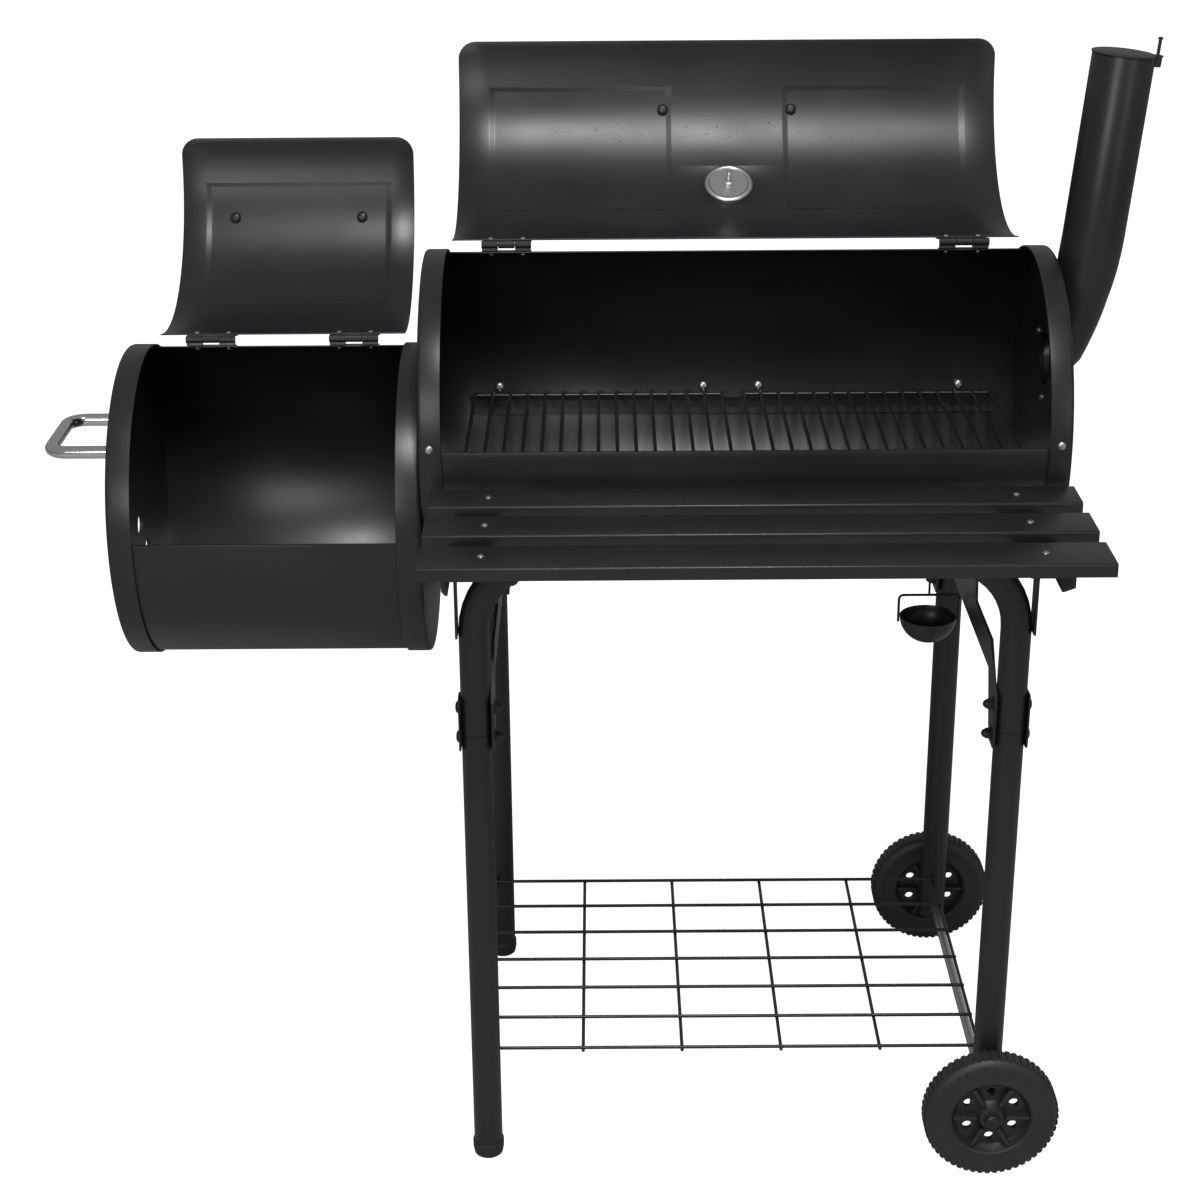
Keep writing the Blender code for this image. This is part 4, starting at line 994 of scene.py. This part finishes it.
# ---- Axle and wheels ------------------------------------------------------------------------
# A steel axle crosses the two right legs. The wheels are moulded plastic with six spokes and six
# holes in a round hollow, small lugs round the shoulder and a lightly ribbed tread.
WHEEL_WIDTH = 0.030
SPOKES = 6
SPOKE_CIRCLE = 0.029
SPOKE_DEPTH = 0.0075
SPOKE_SIZE = (0.0042, 0.026, 0.010)
WHEEL_HOLE_R = 0.0055
SHOULDER_LUGS = 40
SHOULDER_CIRCLE = 0.0655
SHOULDER_SIZE = (0.0028, 0.0046, 0.0014)
TREAD_RIBS = 56
TREAD_CIRCLE = 0.0742
TREAD_SIZE = (0.0052, 0.0200, 0.0013)
WHEEL_PLASTIC = paint("wheel_plastic", (0.016, 0.016, 0.0175), (0.030, 0.030, 0.032), 0.42, 0.0,
                      0.00002)
repaint(ZINC, "axle")


def eased_block(size, ease):
    """A bevelled block at the origin."""
    piece = block((0, 0, 0), size)
    soften(piece, ease)
    return piece


def rays(count, start=0.0):
    """Evenly spaced ways out from a wheel's hub; start turns them by a part of one space."""
    turns = [2 * math.pi * (k + start) / count for k in range(count)]
    return [X * math.cos(turn) + Z * math.sin(turn) for turn in turns]


# One side of the wheel, from the hub out to the tread.
half_profile = [(0, 0.0120), (0.0004, 0.0128), (0.0100, 0.0165), (0.0115, 0.0185),
                (0.0115, 0.0392), (0.0100, 0.0408), (0.0022, 0.0440), (0.0008, 0.0462),
                (0.0014, 0.0530), (0.0006, 0.0610), (0.0000, 0.0640), (0.0006, 0.0672),
                (0.0030, 0.0714), (0.0062, 0.0738)]
hub_nut_profile = [(0, 0.0110), (0.0010, 0.0110), (0.0012, 0.0105), (0.0012, 0.0085),
                   (0.0046, 0.0078), (0.0066, 0.0056), (0.0075, 0.0030), (0.0077, 0.0010)]
for row, way in (("front", -Y), ("rear", Y)):
    low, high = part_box("wheel_" + row)
    hub = (low + high) / 2 - way * WHEEL_WIDTH / 2
    centre = way * WHEEL_WIDTH / 2
    profile = half_profile + [(WHEEL_WIDTH - along, radius) for along, radius in reversed(half_profile)]
    wheel = lathe(hub, way, profile, 84)
    for ray in rays(SPOKES, 0.5):
        bore(wheel, hub + ray * SPOKE_CIRCLE + centre, way, WHEEL_HOLE_R, WHEEL_WIDTH, 28)
    spokes = [stand(hub + ray * SPOKE_CIRCLE + way * along, way, ray) for ray in rays(SPOKES)
              for along in (SPOKE_DEPTH, WHEEL_WIDTH - SPOKE_DEPTH)]
    shoulder = [stand(hub + ray * SHOULDER_CIRCLE + way * (WHEEL_WIDTH - 0.0004), way, ray)
                for ray in rays(SHOULDER_LUGS)]
    tread = [stand(hub + ray * TREAD_CIRCLE + centre, ray, way) for ray in rays(TREAD_RIBS)]
    wheel = join([wheel, set_out(eased_block(SPOKE_SIZE, 0.0008), spokes),
                  set_out(eased_block(SHOULDER_SIZE, 0.0004), shoulder),
                  set_out(eased_block(TREAD_SIZE, 0.0004), tread)])
    complete(wheel, "moulded_wheel_" + row, WHEEL_PLASTIC, "wheel_" + row, "wheel_plastic",
             "wheel_" + row)
    hub_nut = lathe(hub + way * (WHEEL_WIDTH + GAP), way, hub_nut_profile, 32)
    complete(hub_nut, "hub_nut_" + row, FRAME_PAINT, "smoker_body", "frame_paint",
             "axle_nut_" + row)


# ---- Grease cup -----------------------------------------------------------------------------
# A pressed half-round cup hangs by a wire bail from a bar that lies in the barrel across the
# drain hole; a short spout round the hole leads the fat down.
CUP_R = 0.032
CUP_DEPTH = 0.030
CUP_WALL = 0.0012
CUP_STEPS = 12
DRAIN_R = 0.0075
SPOUT_WALL = 0.0016
HANGER_R = 0.0015
BAIL_BEND = 0.005
BAIL_RISE = 0.026
BAIL_OVERLAP = 0.006
T_BAR_HALF = 0.014
low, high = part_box("grease_cup")
cup_foot = Vector(((low.x + high.x) / 2, (low.y + high.y) / 2, low.z))
curve = [math.radians(90 * k / CUP_STEPS) for k in range(1, CUP_STEPS + 1)]
profile = [(CUP_DEPTH * (1 - math.cos(turn)), CUP_R * math.sin(turn)) for turn in curve]
profile += [(CUP_DEPTH + 0.0006, CUP_R + 0.0002), (CUP_DEPTH + 0.0010, CUP_R - 0.0006)]
profile += [(CUP_DEPTH - (CUP_DEPTH - CUP_WALL) * math.cos(turn),
             (CUP_R - CUP_WALL) * math.sin(turn)) for turn in reversed(curve)]
cup = lathe(cup_foot, Z, profile, 56)
complete(cup, "pressed_cup", HEAT_PAINT, "hanging_cup", "heat_paint", "grease_cup")

low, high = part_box("cup_hanger")
bail_half = CUP_R + GAP + HANGER_R
bail_top = cup_foot.z + CUP_DEPTH + BAIL_RISE
bail_end = cup_foot.z + CUP_DEPTH - BAIL_OVERLAP
hang_z = high.z - HANGER_R
x, y = cup_foot.x, cup_foot.y
bail = bent_bar([(x - bail_half, y, bail_end), (x - bail_half, y, bail_top),
                 (x + bail_half, y, bail_top), (x + bail_half, y, bail_end)], HANGER_R, BAIL_BEND, 14)
stem = wires(HANGER_R * 0.9, [((x, y, bail_top), (x, y, hang_z))])
t_bar = wires(HANGER_R, [((x - T_BAR_HALF, y, hang_z), (x + T_BAR_HALF, y, hang_z))])
complete(join([bail, stem, t_bar]), "cup_bail", ENAMEL, "hanging_cup", "enamelled_wire",
         "cup_hanger")

shell = bpy.data.objects["barrel_rolled_shell"]
drain = Vector((cup_foot.x, cup_foot.y, BARREL.middle.z - BARREL.radius + SHELL_INSET))
bore(shell, drain, Z, DRAIN_R)
spout_profile = [(0, DRAIN_R + SPOUT_WALL), (0.0085, DRAIN_R + SPOUT_WALL),
                 (0.0097, DRAIN_R + SPOUT_WALL / 2)]
spout = lathe(drain + Z * 0.0012, -Z, spout_profile, 32)
bore(spout, drain, Z, DRAIN_R, 0.03)
complete(spout, "drain_spout", HEAT_PAINT, "smoker_body", "heat_paint")
